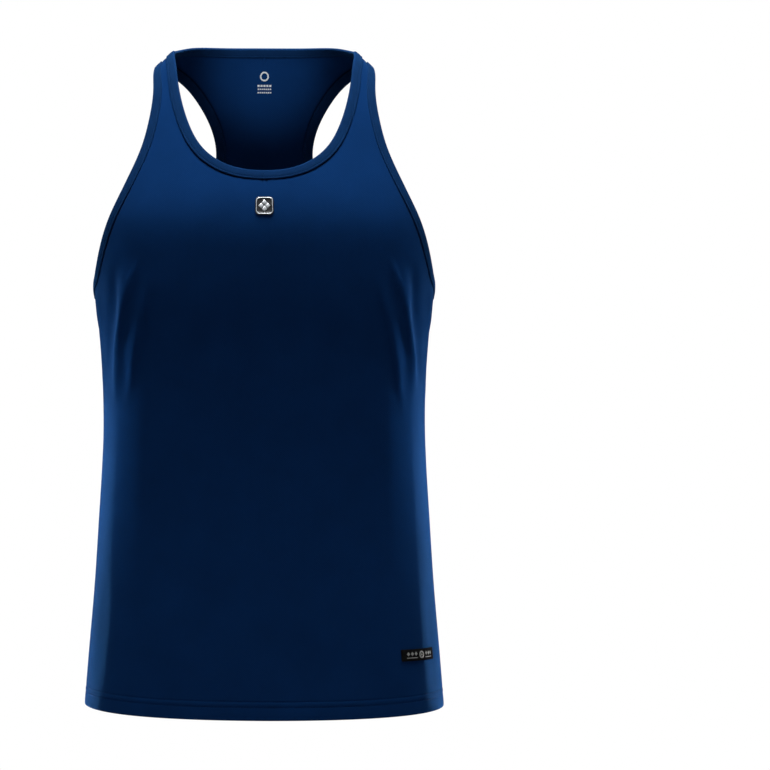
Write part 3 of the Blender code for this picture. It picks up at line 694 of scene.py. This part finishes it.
def binding(name, ring):
    profile, along = binding_profile(), ring.run[:-1]
    wave, sway = ring.ripple(RIB_WAVES), ring.ripple(EDGE_WAVES)
    into = unit(ring.inner - ring.raw)
    points, uvs = [], []
    for k, (inset, height) in enumerate(profile):
        shown = k < len(profile) - SLOT_POINTS
        out = 1.0 if height > BINDING_MIDDLE else -1.0
        soft = RIB_HEIGHT * wave * out * min(1.0, max(inset - 1.0, 0.0) / 2.5) * shown
        aside = EDGE_SWAY * sway * (inset > 9.8) * shown
        points.append(ring.at(inset, height)[0] + ring.raw_up * soft[:, None] + into * aside[:, None])
        inside = 30.0 if height < BINDING_MIDDLE else 0.0
        uvs.append(np.stack([along, np.full(len(along), inside + inset)], -1))
    points, uvs = np.stack(points, 1), np.stack(uvs, 1)
    worn = np.exp(-profile[:, 0] / 1.2)[None] * np.ones((len(along), 1))
    return welded(name, points, grid_faces(ids_of(points, ring=True), closed=True), uvs, wear=worn)


# Sewing


def stitches(centres, along, up, length, radius):
    """Thread showing as short bowed capsules, one mesh for the whole row. Every array has one row a
    stitch, in millimetres."""
    along, up = unit(along), unit(up)
    across = unit(np.cross(along, up))
    up = np.cross(across, along)
    length = np.broadcast_to(length, (len(centres),))
    rings, sides = np.array([-1.0, -0.62, 0.62, 1.0]), 5
    thick, bow = np.array([0.42, 1.0, 1.0, 0.42]), np.array([-0.85, 0.0, 0.0, -0.85])
    turns = 2 * math.pi * (np.arange(sides) + 0.5) / sides
    place = centres[:, None] + along[:, None] * (rings[None, :, None] * length[:, None, None] / 2)
    place = place + up[:, None] * (bow * radius)[None, :, None]
    round_it = across[:, None] * np.cos(turns)[None, :, None] + up[:, None] * np.sin(turns)[None, :, None]
    points = place[:, :, None] + round_it[:, None] * (thick * radius)[None, :, None, None]
    size = len(rings) * sides
    bases = (np.arange(len(centres)) * size)[:, None, None]
    quads = grid_faces(np.arange(size).reshape(len(rings), sides), closed=True)[None] + bases
    caps = np.stack([np.arange(sides), size - 1 - np.arange(sides)])[None] + bases
    faces = quads.reshape(-1, 4).tolist() + caps.reshape(-1, sides).tolist()
    return skin("stitches", points.reshape(-1, 3), faces)


def spaced(points, ups, pitch, closed=False, count=None):
    """Places at an even pitch along a line of points: (points, directions, ups)."""
    if closed:
        points, ups = np.concatenate([points, points[:1]]), np.concatenate([ups, ups[:1]])
    run = lengths_along(points)
    count = count or max(2, round(run[-1] / pitch))
    at = (np.arange(count) + 0.5) / count * run[-1]

    def read(values, where):
        return np.stack([np.interp(where, run, column) for column in values.T], -1)

    ahead, behind = read(points, at + pitch * 0.25), read(points, at - pitch * 0.25)
    return read(points, at), ahead - behind, read(ups, at)


def stitch_row(points, ups, stitch, closed=False):
    """A row of one stitch along a line of points."""
    centre, along, up = spaced(points, ups, stitch.pitch, closed)
    return stitches(centre, along, up, stitch.length, stitch.radius)


def joined(name, pieces):
    """One object from several, which are freed."""
    shape = bmesh.new()
    for piece in pieces:
        shape.from_mesh(piece.data)
        bpy.data.objects.remove(piece)
    mesh = bpy.data.meshes.new(name)
    shape.to_mesh(mesh)
    shape.free()
    mesh.shade_smooth()
    return add_object(name, mesh)


def binding_stitches(name, ring):
    """A row through the binding, seen outside and inside."""
    rows = []
    for height in (1.02, -2.22):
        points, ups = ring.at(BINDING_NEEDLE, height)
        rows.append(stitch_row(points, ups * math.copysign(1, height), BINDING_STITCH, closed=True))
    return joined(name, rows)


def hem_line(above, depth):
    """Points and ups round the hem, above its edge, closed, from the centre front over the left."""
    signed = np.linspace(0, 360, 1441)[:-1]
    side = np.where(signed <= 180, 1.0, -1.0)
    angle = np.where(signed <= 180, signed, 360 - signed)
    drop = hem_drop(side, angle) - above
    up = cloth_normal(side, angle, drop)
    return cloth(side, angle, drop) + up * depth, up


def hem_stitches():
    """The two needle lines outside."""
    rows = [stitch_row(*hem_line(above, -0.20), HEM_STITCH, closed=True) for above in HEM_NEEDLES]
    return joined("hem_stitches", rows)


def hem_cover_threads():
    """The looper thread inside, in two rows that lean across the cut edge."""
    rows, pitch = [], HEM_STITCH.pitch
    low, ups = hem_line(HEM_NEEDLES[0] - 0.4, -HEM_THICK - 0.12)
    high, _ = hem_line(HEM_NEEDLES[1] + 0.4, -HEM_THICK - 0.12)
    a, _, up = spaced(low, -ups, pitch, closed=True, count=COVER_THREADS)
    b, along, _ = spaced(high, -ups, pitch, closed=True, count=COVER_THREADS)
    for lean in (1, -1):
        leaned = b - a + unit(along) * lean * pitch / 2
        rows.append(stitches((a + b) / 2, leaned, up, np.linalg.norm(leaned, axis=-1), COVER_RADIUS))
    return joined("hem_cover_threads", rows)


def side_allowance(side, word):
    """The overlocked seam allowance inside a side seam, pressed towards the back. Its lower end is
    caught inside the hem."""
    top, free_end, caught_at = 272.0, 676.0, 677.0
    in_hem = hem_drop(side, SIDE_SEAM) - np.linspace(28.0, 1.1, 30)
    free = slice(0, 260)
    drop = np.append(np.linspace(top, free_end, free.stop), in_hem)
    caught = np.clip((drop - caught_at) / 3.0, 0.0, 1.0)
    wave = ripple(drop, ALLOWANCE_WAVES)
    # The strip's cross section by (away from the seam, out from the cloth), free and in the hem
    sections = (
        ((-0.6, -CLOTH - 0.1), (-0.9, -0.35)),
        ((-0.6, -CLOTH - 1.2), (-0.9, -1.4)),
        ((0.8, -CLOTH - 1.5), (-0.6, -1.5)),
        ((3.4, -CLOTH - 1.35), (0.0, -1.5)),
        ((5.6, -CLOTH - 1.2), (0.4, -1.4)),
        ((6.2, -CLOTH - 0.7), (0.6, -1.1)),
        ((5.8, -CLOTH - 0.15), (0.6, -0.35)),
    )
    rows = []
    for (away, depth), (near, low) in sections:
        aside = (away + 0.3 * wave * (away > 3)) * (1 - caught) + near * caught
        angle = SIDE_SEAM + 0.15 + aside / ROUND_BY_SEAM
        up = cloth_normal(side, angle, drop)
        deep = (depth + 0.12 * wave * (depth < -1.3)) * (1 - caught) + low * caught
        rows.append(cloth(side, angle, drop) + up * deep[:, None])
    points = np.stack(rows, 1)
    uvs = np.stack(np.broadcast_arrays(drop[:, None], np.arange(len(sections)) * 1.5), -1)
    strip = welded("strip", points, grid_faces(ids_of(points), closed=True), uvs)
    ups = -cloth_normal(side, SIDE_SEAM + 2.0, drop[free])
    centre, along, up = spaced(points[free, 3], ups, ALLOWANCE_LOOP.pitch)
    across = unit(points[free.stop // 2, 4] - points[free.stop // 2, 2])
    loops = stitches(centre, across + unit(along) * 0.35, up, ALLOWANCE_LOOP.length, ALLOWANCE_LOOP.radius)
    ups = -cloth_normal(side, SIDE_SEAM + 0.5, drop[free])
    line = stitch_row(points[free, 2], ups, ALLOWANCE_LINE)
    return joined(f"{word}_side_allowance", [strip, loops, line])


# Materials


class Nodes:
    """Short calls for a tree's nodes."""

    def __init__(self, tree):
        self.tree = tree

    def new(self, kind, inputs=(), **settings):
        node = self.tree.nodes.new(kind)
        for key, value in settings.items():
            setattr(node, key, value)
        for key, value in dict(inputs).items():
            if hasattr(value, "is_output"):
                self.tree.links.new(value, node.inputs[key])
            else:
                node.inputs[key].default_value = value
        return node

    def maths(self, kind, a, b=0.0, c=0.0):
        return self.new("ShaderNodeMath", {0: a, 1: b, 2: c}, operation=kind).outputs[0]

    def times(self, a, b, add=0.0):
        return self.maths("MULTIPLY_ADD", a, b, add)

    def mix(self, factor, a, b):
        node = self.new("ShaderNodeMix", data_type="RGBA")
        for key, value in (("Factor", factor), ("A", a), ("B", b)):
            socket = next(s for s in node.inputs if s.name == key and s.enabled)
            if hasattr(value, "is_output"):
                self.tree.links.new(value, socket)
            else:
                socket.default_value = value if key == "Factor" else (*value, 1)
        return next(s for s in node.outputs if s.enabled)

    def span(self, value, low, high, to_low, to_high):
        inputs = {"Value": value, "From Min": low, "From Max": high, "To Min": to_low, "To Max": to_high}
        return self.new("ShaderNodeMapRange", inputs).outputs[0]

    def noise(self, scale, detail):
        place = self.new("ShaderNodeTexCoord").outputs["Object"]
        inputs = {"Vector": place, "Scale": scale, "Detail": detail}
        return self.new("ShaderNodeTexNoise", inputs).outputs["Fac"]

    def painted(self, label):
        return self.new("ShaderNodeAttribute", attribute_name=label).outputs["Fac"]

    def cloth_uv(self):
        place = self.new("ShaderNodeUVMap", uv_map="Cloth").outputs[0]
        split = self.new("ShaderNodeSeparateXYZ", {0: place})
        return split.outputs[0], split.outputs[1]

    def wave(self, value, pitch, start=0.0):
        """Cosine of value over a pitch in metres."""
        return self.maths("COSINE", self.times(value, 2 * math.pi / pitch, start))

    def for_camera(self, share, seen, lit, output):
        """Camera rays see seen by a share, and light meets lit."""
        ray = self.new("ShaderNodeLightPath").outputs["Is Camera Ray"]
        mixed = self.new("ShaderNodeMixShader", {0: self.maths("MULTIPLY", ray, share), 1: lit, 2: seen})
        self.tree.links.new(mixed.outputs[0], self.tree.nodes[output].inputs[0])


def shaded(colour, by):
    return tuple(by * c for c in colour)


class Look:
    """A new material with its shader, which starts with constant values."""

    def __init__(self, name, colour, roughness, specular=0.5, metallic=0.0):
        self.material = bpy.data.materials.new(name)
        self.material.use_nodes = True
        self.nodes = Nodes(self.material.node_tree)
        self.shader = self.material.node_tree.nodes["Principled BSDF"]
        self.set("Base Color", (*colour, 1))
        self.set("Roughness", roughness)
        self.set("Specular IOR Level", specular)
        self.set("Metallic", metallic)

    def set(self, key, value):
        self.shader.inputs[key].default_value = value

    def knitted(self, sheen, tint, sheen_rough):
        """The faint blue gloss and sheen of the yarn."""
        self.set("Specular Tint", (*GLOSS, 1))
        self.set("Sheen Weight", sheen)
        self.set("Sheen Tint", (*tint, 1))
        self.set("Sheen Roughness", sheen_rough)
        return self

    def vary(self, shade, rough, height, bump, strength=0.5):
        """Links the colour, the roughness and a relief as deep as bump, in metres."""
        raised = self.nodes.new("ShaderNodeBump", {"Height": height, "Strength": strength, "Distance": bump})
        for key, value in (("Base Color", shade), ("Roughness", rough), ("Normal", raised.outputs[0])):
            self.nodes.tree.links.new(value, self.shader.inputs[key])
        return self.material


def knit_material(name, colour, deep, pitch):
    """Micro-mesh knit: staggered eyelets over fine vertical ribs, with slow changes of dye, paler worn edges
    and painted shade beside the bindings and seams.
    """
    look = Look(name, colour, 0.60, specular=0.0).knitted(0.10, (0.22, 0.54, 1.0), 0.35)
    nodes = look.nodes
    u, v = nodes.cloth_uv()
    eyelets = nodes.maths("MULTIPLY", nodes.wave(u, pitch[0]), nodes.wave(v, pitch[1]))
    ribs = nodes.wave(u, pitch[0] / 2)
    loops = nodes.maths("MULTIPLY", nodes.wave(v, pitch[1] / 3), nodes.wave(u, pitch[0] / 2, 1.2))
    fuzz, slub = nodes.noise(900.0, 3.0), nodes.noise(26.0, 4.0)
    height = nodes.times(ribs, 0.5, nodes.maths("MULTIPLY", eyelets, -0.6))
    height = nodes.times(fuzz, 0.7, nodes.times(loops, 0.18, height))
    worn, shade_mask = nodes.painted("wear"), nodes.painted("crease")
    lighter = shaded(colour, 1.5)
    shade = nodes.mix(nodes.span(eyelets, 0.35, 1.0, 0.0, 0.5), colour, deep)
    shade = nodes.mix(nodes.span(slub, 0.35, 0.75, 0.0, 0.22), shade, lighter)
    shade = nodes.mix(nodes.maths("MULTIPLY", worn, 0.18), shade, lighter)
    # Painted shade: the colour goes towards a dark copy of the deep colour in the ditches beside the
    # bindings and along the seams
    shade = nodes.mix(nodes.maths("MULTIPLY", shade_mask, 0.85), shade, shaded(deep, 0.3))
    rough = nodes.span(nodes.times(worn, 0.25, fuzz), 0.2, 1.0, 0.53, 0.70)
    return look.vary(shade, rough, height, 0.00016)


def binding_material(name, colour, deep):
    """Fine one-by-one rib running across the folded strip."""
    look = Look(name, colour, 0.62, specular=0.0).knitted(0.16, (0.12, 0.42, 1.0), 0.4)
    nodes = look.nodes
    u, v = nodes.cloth_uv()
    ribs = nodes.wave(u, 0.00115)
    loops = nodes.maths("MULTIPLY", ribs, nodes.wave(v, 0.0009))
    fuzz, slub = nodes.noise(1100.0, 3.0), nodes.noise(40.0, 3.0)
    height = nodes.times(fuzz, 0.8, nodes.times(loops, 0.4, ribs))
    lighter = shaded(colour, 1.6)
    shade = nodes.mix(nodes.span(ribs, -1.0, 0.2, 0.4, 0.0), colour, deep)
    shade = nodes.mix(nodes.span(slub, 0.35, 0.75, 0.0, 0.2), shade, lighter)
    shade = nodes.mix(nodes.maths("MULTIPLY", nodes.painted("wear"), 0.35), shade, lighter)
    return look.vary(shade, nodes.span(fuzz, 0.2, 0.9, 0.56, 0.72), height, 0.00012, strength=0.6)


def thread_material(name, colour):
    """Twisted polyester thread."""
    look = Look(name, colour, 0.65, specular=0.03).knitted(0.03, (0.3, 0.55, 1.0), 0.4)
    nodes = look.nodes
    twist, slow = nodes.noise(2600.0, 2.0), nodes.noise(60.0, 1.0)
    shade = nodes.mix(nodes.span(slow, 0.3, 0.7, 0.0, 0.5), colour, shaded(colour, 1.8))
    return look.vary(shade, nodes.span(twist, 0.3, 0.7, 0.58, 0.72), twist, 0.00008)


def grain_material(name, colour, other, roughness, scale, bump, **constants):
    """A moulded, printed or woven surface with a fine uneven grain."""
    look = Look(name, colour, roughness, **constants)
    nodes = look.nodes
    fine, slow = nodes.noise(scale, 4.0), nodes.noise(scale / 12, 2.0)
    shade = nodes.mix(nodes.span(slow, 0.3, 0.7, 0.0, 1.0), colour, other)
    return look.vary(shade, nodes.span(fine, 0.3, 0.7, roughness - 0.08, roughness + 0.1), fine, bump)


def tape_material(name, colour, other):
    """Satin-woven tape: close diagonal ribs from the tape's own coordinates."""
    look = Look(name, colour, 0.6, specular=0.0)
    nodes = look.nodes
    u, v = nodes.cloth_uv()
    twill = nodes.wave(nodes.times(v, 0.5, u), 0.0007)
    height = nodes.times(twill, 0.6, nodes.wave(v, 0.00042))
    shade = nodes.mix(nodes.span(nodes.noise(220.0, 3.0), 0.3, 0.7, 0.0, 1.0), colour, other)
    return look.vary(shade, nodes.span(height, -1.5, 1.5, 0.52, 0.72), height, 0.00006)


KNIT = knit_material("navy_micro_mesh", NAVY, NAVY_DEEP, MESH_PITCH)
FOLDED = binding_material("navy_binding", BIND, BIND_DEEP)
THREAD = thread_material("navy_thread", (0.0034, 0.0250, 0.0920))
RUBBER = grain_material("black_rubber", (0.010, 0.010, 0.012), (0.018, 0.018, 0.020), 0.42, 1400.0, 0.00004)
SILVER = grain_material(
    "silver_print", (0.50, 0.53, 0.56), (0.66, 0.68, 0.70), 0.36, 1800.0, 0.00003, metallic=0.35
)
TAPE = tape_material("black_tape", (0.007, 0.007, 0.008), (0.013, 0.013, 0.013))
GREY_YARN = grain_material(
    "grey_yarn", (0.27, 0.27, 0.26), (0.40, 0.39, 0.37), 0.62, 2400.0, 0.00006, specular=0.0
)
WHITE_INK = grain_material("white_ink", (0.62, 0.64, 0.66), (0.76, 0.77, 0.78), 0.50, 1500.0, 0.00003)
RED_INK = grain_material("red_ink", (0.45, 0.035, 0.045), (0.55, 0.06, 0.07), 0.50, 1500.0, 0.00003)
PALE_INK = grain_material("pale_blue_ink", (0.22, 0.34, 0.62), (0.30, 0.42, 0.70), 0.50, 1500.0, 0.00003)


# Patches and prints, laid on the cloth from local points


class Spot:
    """A flat place on the cloth: x runs as a viewer facing it reads, y up, both in millimetres."""

    def __init__(self, angle, drop, inside=False):
        self.angle, self.drop, self.inside = angle, drop, inside
        self.per_degree = np.linalg.norm(cloth(1, angle + 1, drop) - cloth(1, angle, drop))
        self.reads = -1.0 if (angle > SIDE_SEAM) != inside else 1.0

    def on(self, outline, height, at=(0.0, 0.0)):
        """An outline's points round a local place, height out from the cloth's face on that side."""
        signed = self.angle + self.reads * (outline[:, 0] + at[0]) / self.per_degree
        signed = (signed + 180.0) % 360.0 - 180.0
        side, angle = np.where(signed < 0, -1.0, 1.0), np.abs(signed)
        drop = self.drop - (outline[:, 1] + at[1])
        out = -(CLOTH + height) if self.inside else height
        return cloth(side, angle, drop) + cloth_normal(side, angle, drop) * out


def round_rectangle(half_x, half_y, corner, turns):
    """A rounded rectangle's outline, with that many points round each corner."""
    points = []
    for k, (sx, sy) in enumerate(((1, 1), (-1, 1), (-1, -1), (1, -1))):
        for t in np.linspace(0, math.pi / 2, turns) + k * math.pi / 2:
            x, y = sx * (half_x - corner), sy * (half_y - corner)
            points.append((x + corner * math.cos(t), y + corner * math.sin(t)))
    return np.array(points)


def refined(outline, most):
    """The closed outline with no step longer than most."""
    found = []
    for a, b in zip(outline, np.roll(outline, -1, axis=0)):
        count = max(1, math.ceil(np.linalg.norm(b - a) / most))
        found += [a + (b - a) * i / count for i in range(count)]
    return np.array(found)


def shrunk(outline, by):
    """The outline drawn in by a distance on each side."""
    half = np.abs(outline).max(axis=0)
    return outline * ((half - by) / half)


def raised_piece(name, spot, outline, rings, at=(0.0, 0.0)):
    """A low piece on the cloth: rings of (drawn in by, height) from its rim to near its centre."""
    rows = [(shrunk(outline, by), height) for by, height in rings]
    ids = ids_of(np.empty((len(rows), len(outline))))
    faces = grid_faces(ids, closed=True).tolist() + [ids[-1].tolist(), ids[0][::-1].tolist()]
    points = np.concatenate([spot.on(ring, height, at) for ring, height in rows])
    made = skin(name, points, faces, np.concatenate([ring for ring, _ in rows]), cut=True)
    made.data.set_sharp_from_angle(angle=math.radians(55))
    return made


def mark(spot, outline, base, proud, at):
    """A printed or woven mark, proud of the surface at base, with its centre at a local place."""
    outline = refined(np.asarray(outline, float), 3.0)
    half = np.abs(outline).max(axis=0).min()
    soft = min(0.12, 0.3 * half)
    rings = ((0.0, base), (0.0, base + proud * 0.6), (soft, base + proud), (half * 0.6, base + proud))
    return raised_piece("mark", spot, outline, rings, at)


def lozenge(half_x, half_y):
    return np.array([(half_x, 0), (0, half_y), (-half_x, 0), (0, -half_y)])


def block(half_x, half_y):
    return np.array([(half_x, half_y), (-half_x, half_y), (-half_x, -half_y), (half_x, -half_y)])


def disc(radius, count):
    turns = np.linspace(0, 2 * math.pi, count, endpoint=False)
    return np.stack([radius * np.cos(turns), radius * np.sin(turns)], -1)


def ring_strip(name, spot, outer, inner, base, proud, at=(0.0, 0.0)):
    """A flat closed band between two outlines of the same count."""
    edge = 0.015
    bevelled = outer + (inner - outer) * edge, inner + (outer - inner) * edge
    rows = ((outer, base), (bevelled[0], base + proud), (bevelled[1], base + proud), (inner, base))
    points = np.stack([spot.on(ring, height, at) for ring, height in rows])
    uvs = np.stack([ring + at for ring, _ in rows])
    return welded(name, points, grid_faces(ids_of(points, ring=True), closed=True), uvs)


def finish_piece(piece, material, slot, *nodes):
    piece.data.materials.clear()
    piece.data.materials.append(material)
    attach(piece, "root")
    if nodes:
        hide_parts(*nodes)
    piece.shadow_terminator_geometry_offset = SOFT_TERMINATOR
    return piece


def badge():
    """A moulded plate with a silver rim and four lozenges."""
    spot, half = Spot(BADGE.angle, BADGE.drop), BADGE.length / 2
    outline = refined(round_rectangle(half, half, BADGE.corner, 7), 2.2)
    rings = ((0.25, 0.05), (0.0, 0.3), (0.0, 0.85), (0.18, 1.08), (0.5, 1.2), (2.1, 1.2), (2.35, 0.95),
             (4.5, 0.98), (8.0, 1.0))
    plate = finish_piece(raised_piece("badge_plate", spot, outline, rings), RUBBER, "badge", "chest_badge")
    rim = ring_strip("badge_rim", spot, shrunk(outline, 0.75), shrunk(outline, 1.55), 1.15, 0.2)
    rim = finish_piece(rim, SILVER, "badge")
    places = ((0, 3.4), (3.4, 0), (0, -3.4), (-3.4, 0))
    dots = [mark(spot, lozenge(2.9, 2.9), 0.96, 0.3, at) for at in places]
    return [plate, rim, finish_piece(joined("badge_dots", dots), SILVER, "badge")]


def label():
    """A woven tape with a ring, lozenges and two bars."""
    spot, base = Spot(LABEL.angle, LABEL.drop), 0.96
    outline = refined(round_rectangle(LABEL.length / 2, LABEL.height / 2, LABEL.corner, 4), 2.0)
    rings = ((0.2, 0.05), (0.0, 0.25), (0.0, 0.8), (0.2, 1.0), (1.2, 1.0), (3.0, 0.98), (5.4, 0.98))
    band = finish_piece(raised_piece("label_tape", spot, outline, rings), TAPE, "label", "hem_label")
    marks = [ring_strip("ring", spot, disc(3.9, 36), disc(2.3, 36), base, 0.18)]
    marks.append(mark(spot, lozenge(1.4, 1.4), base, 0.16, (0, 0)))
    for way in (1, -1):
        for k in range(3):
            marks.append(mark(spot, lozenge(2.1, 2.1), base, 0.14, (way * (9.0 + 5.4 * k), 1.2)))
        marks.append(mark(spot, block(7.4, 0.4), base, 0.14, (way * 14.4, -2.9)))
    return [band, finish_piece(joined("label_marks", marks), GREY_YARN, "label")]


def neck_print():
    """A ring over three rows of small blocks, inside the yoke."""
    spot = Spot(BACK_CENTRE, 30.0, inside=True)
    marks = [ring_strip("ring", spot, disc(5.2, 40), disc(3.4, 40), 0.0, 0.12, (0, 7.5))]
    for row, (count, size) in enumerate(((5, 1.5), (7, 1.0), (7, 1.0))):
        for k in range(count):
            x = (k - (count - 1) / 2) * size * 2.1
            marks.append(mark(spot, block(size * 0.72, size * 0.72), 0.0, 0.12, (x, -2.4 - 3.6 * row)))
    return finish_piece(joined("neck_print", marks), WHITE_INK, "knit")


def yoke_prints():
    """A row of lozenges in three inks by turns, over a row of blocks in the last two."""
    spot, base, proud, prints = Spot(BACK_CENTRE, 41.0), 0.02, 0.12, []
    for turn, (word, ink) in enumerate((("pale", PALE_INK), ("white", WHITE_INK), ("red", RED_INK))):
        marks = []
        for k in range(-5, 6):
            if (k + 6) % 3 == turn:
                marks.append(mark(spot, lozenge(1.75, 4.4 - 0.5 * abs(k)), base, proud, (k * 3.9, 1.6)))
        for k in range(-8, 9):
            if (k + 9) % 3 == turn and ink is not PALE_INK:
                marks.append(mark(spot, block(0.9, 0.8), base, proud, (k * 2.5, -5.2)))
        prints.append(finish_piece(joined(f"yoke_print_{word}", marks), ink, "knit"))
    return prints


def dress():
    front = finish_piece(panel("front_cloth", False), KNIT, "knit", "front_panel")
    back = finish_piece(panel("back_cloth", True), KNIT, "knit", "back_panel")
    rings = {"neck": neck_ring(), "left_arm": armhole_ring(1), "right_arm": armhole_ring(-1)}
    bands = [
        finish_piece(binding(f"{word}_band", ring), FOLDED, "binding", BINDING_NODES[word])
        for word, ring in rings.items()
    ]
    rows = [
        finish_piece(binding_stitches(f"{word}_stitches", ring), THREAD, "binding")
        for word, ring in rings.items()
    ]
    hem = finish_piece(hem_stitches(), THREAD, "knit")
    on_back = [finish_piece(hem_cover_threads(), THREAD, "knit")]
    for side, word in NAMED_SIDES:
        on_back.append(finish_piece(side_allowance(side, word), THREAD, "knit"))
    on_front = [*badge(), *label(), hem]
    on_back = [neck_print(), *yoke_prints(), *on_back]

    area_of(front)
    area_of(back)


# Camera, light and floor


def camera_and_world():
    scene = bpy.context.scene
    data = bpy.data.cameras.new("camera")
    camera = add_object("camera", data)
    turned = math.atan2(FRAME_ASIDE, CAMERA_AWAY)
    camera.location = (0.0, -CAMERA_AWAY, CAMERA_HIGH)
    camera.rotation_euler = (math.pi / 2, 0.0, -turned)
    data.sensor_width = SENSOR
    data.lens = SENSOR * (CAMERA_AWAY / math.cos(turned)) / FRAME_WIDE
    data.clip_start, data.clip_end = 0.05, 60.0
    scene.camera = camera
    scene.view_settings.view_transform = "Standard"
    scene.view_settings.look = "None"

    scene.world = bpy.data.worlds.new("studio")
    scene.world.use_nodes = True
    nodes = Nodes(scene.world.node_tree)
    dim = nodes.tree.nodes["Background"]
    dim.inputs["Color"].default_value = (0.80, 0.88, 1.0, 1)
    dim.inputs["Strength"].default_value = 0.030
    white = nodes.new("ShaderNodeBackground", {"Color": (1, 1, 1, 1), "Strength": 1.0})
    nodes.for_camera(1.0, white.outputs[0], dim.outputs[0], "World Output")


def add_lamp(name, lamp, place, target):
    """A lamp at a place, aimed at a target."""
    lamp.color = LAMP_COLOUR
    made = add_object(name, lamp)
    made.location = place
    away = np.subtract(target, place)
    tilt = math.acos(-away[2] / np.linalg.norm(away))
    made.rotation_euler = (tilt, 0.0, math.atan2(away[1], away[0]) - math.pi / 2)


def lights():
    for light in LIGHTS:
        for side, word in NAMED_SIDES if light.both else ((1, None),):
            name = f"{word}_{light.name}" if word else light.name
            lamp = bpy.data.lights.new(name, "AREA")
            lamp.shape, lamp.size, lamp.size_y = "RECTANGLE", *light.size
            lamp.energy, lamp.spread = light.power, math.radians(light.spread)
            place, target = (np.multiply(at, (side, 1, 1)) for at in (light.place, light.target))
            add_lamp(name, lamp, place, target)
    beam = bpy.data.lights.new("neck_beam", "SPOT")
    beam.energy, beam.spot_size, beam.spot_blend = BEAM_POWER, math.radians(BEAM_ANGLE), 1.0
    beam.shadow_soft_size = 0.02
    add_lamp("neck_beam", beam, *BEAM)


def floor():
    """A pale disc, which the camera sees evenly lit."""
    mesh = bpy.data.meshes.new("floor")
    shape = bmesh.new()
    bmesh.ops.create_circle(shape, cap_ends=True, radius=FLOOR_RADIUS, segments=96)
    shape.to_mesh(mesh)
    shape.free()
    look = Look("pale_floor", (0.80, 0.81, 0.82), 0.7)
    shine = look.nodes.new("ShaderNodeEmission", {"Color": (0.90, 0.91, 0.92, 1), "Strength": 1.0})
    look.nodes.for_camera(0.85, shine.outputs[0], look.shader.outputs[0], "Material Output")
    mesh.materials.append(look.material)
    made = add_object("floor", mesh)
    made.location = (0.0, 0.0, FLOOR)


camera_and_world()
lights()
floor()
dress()
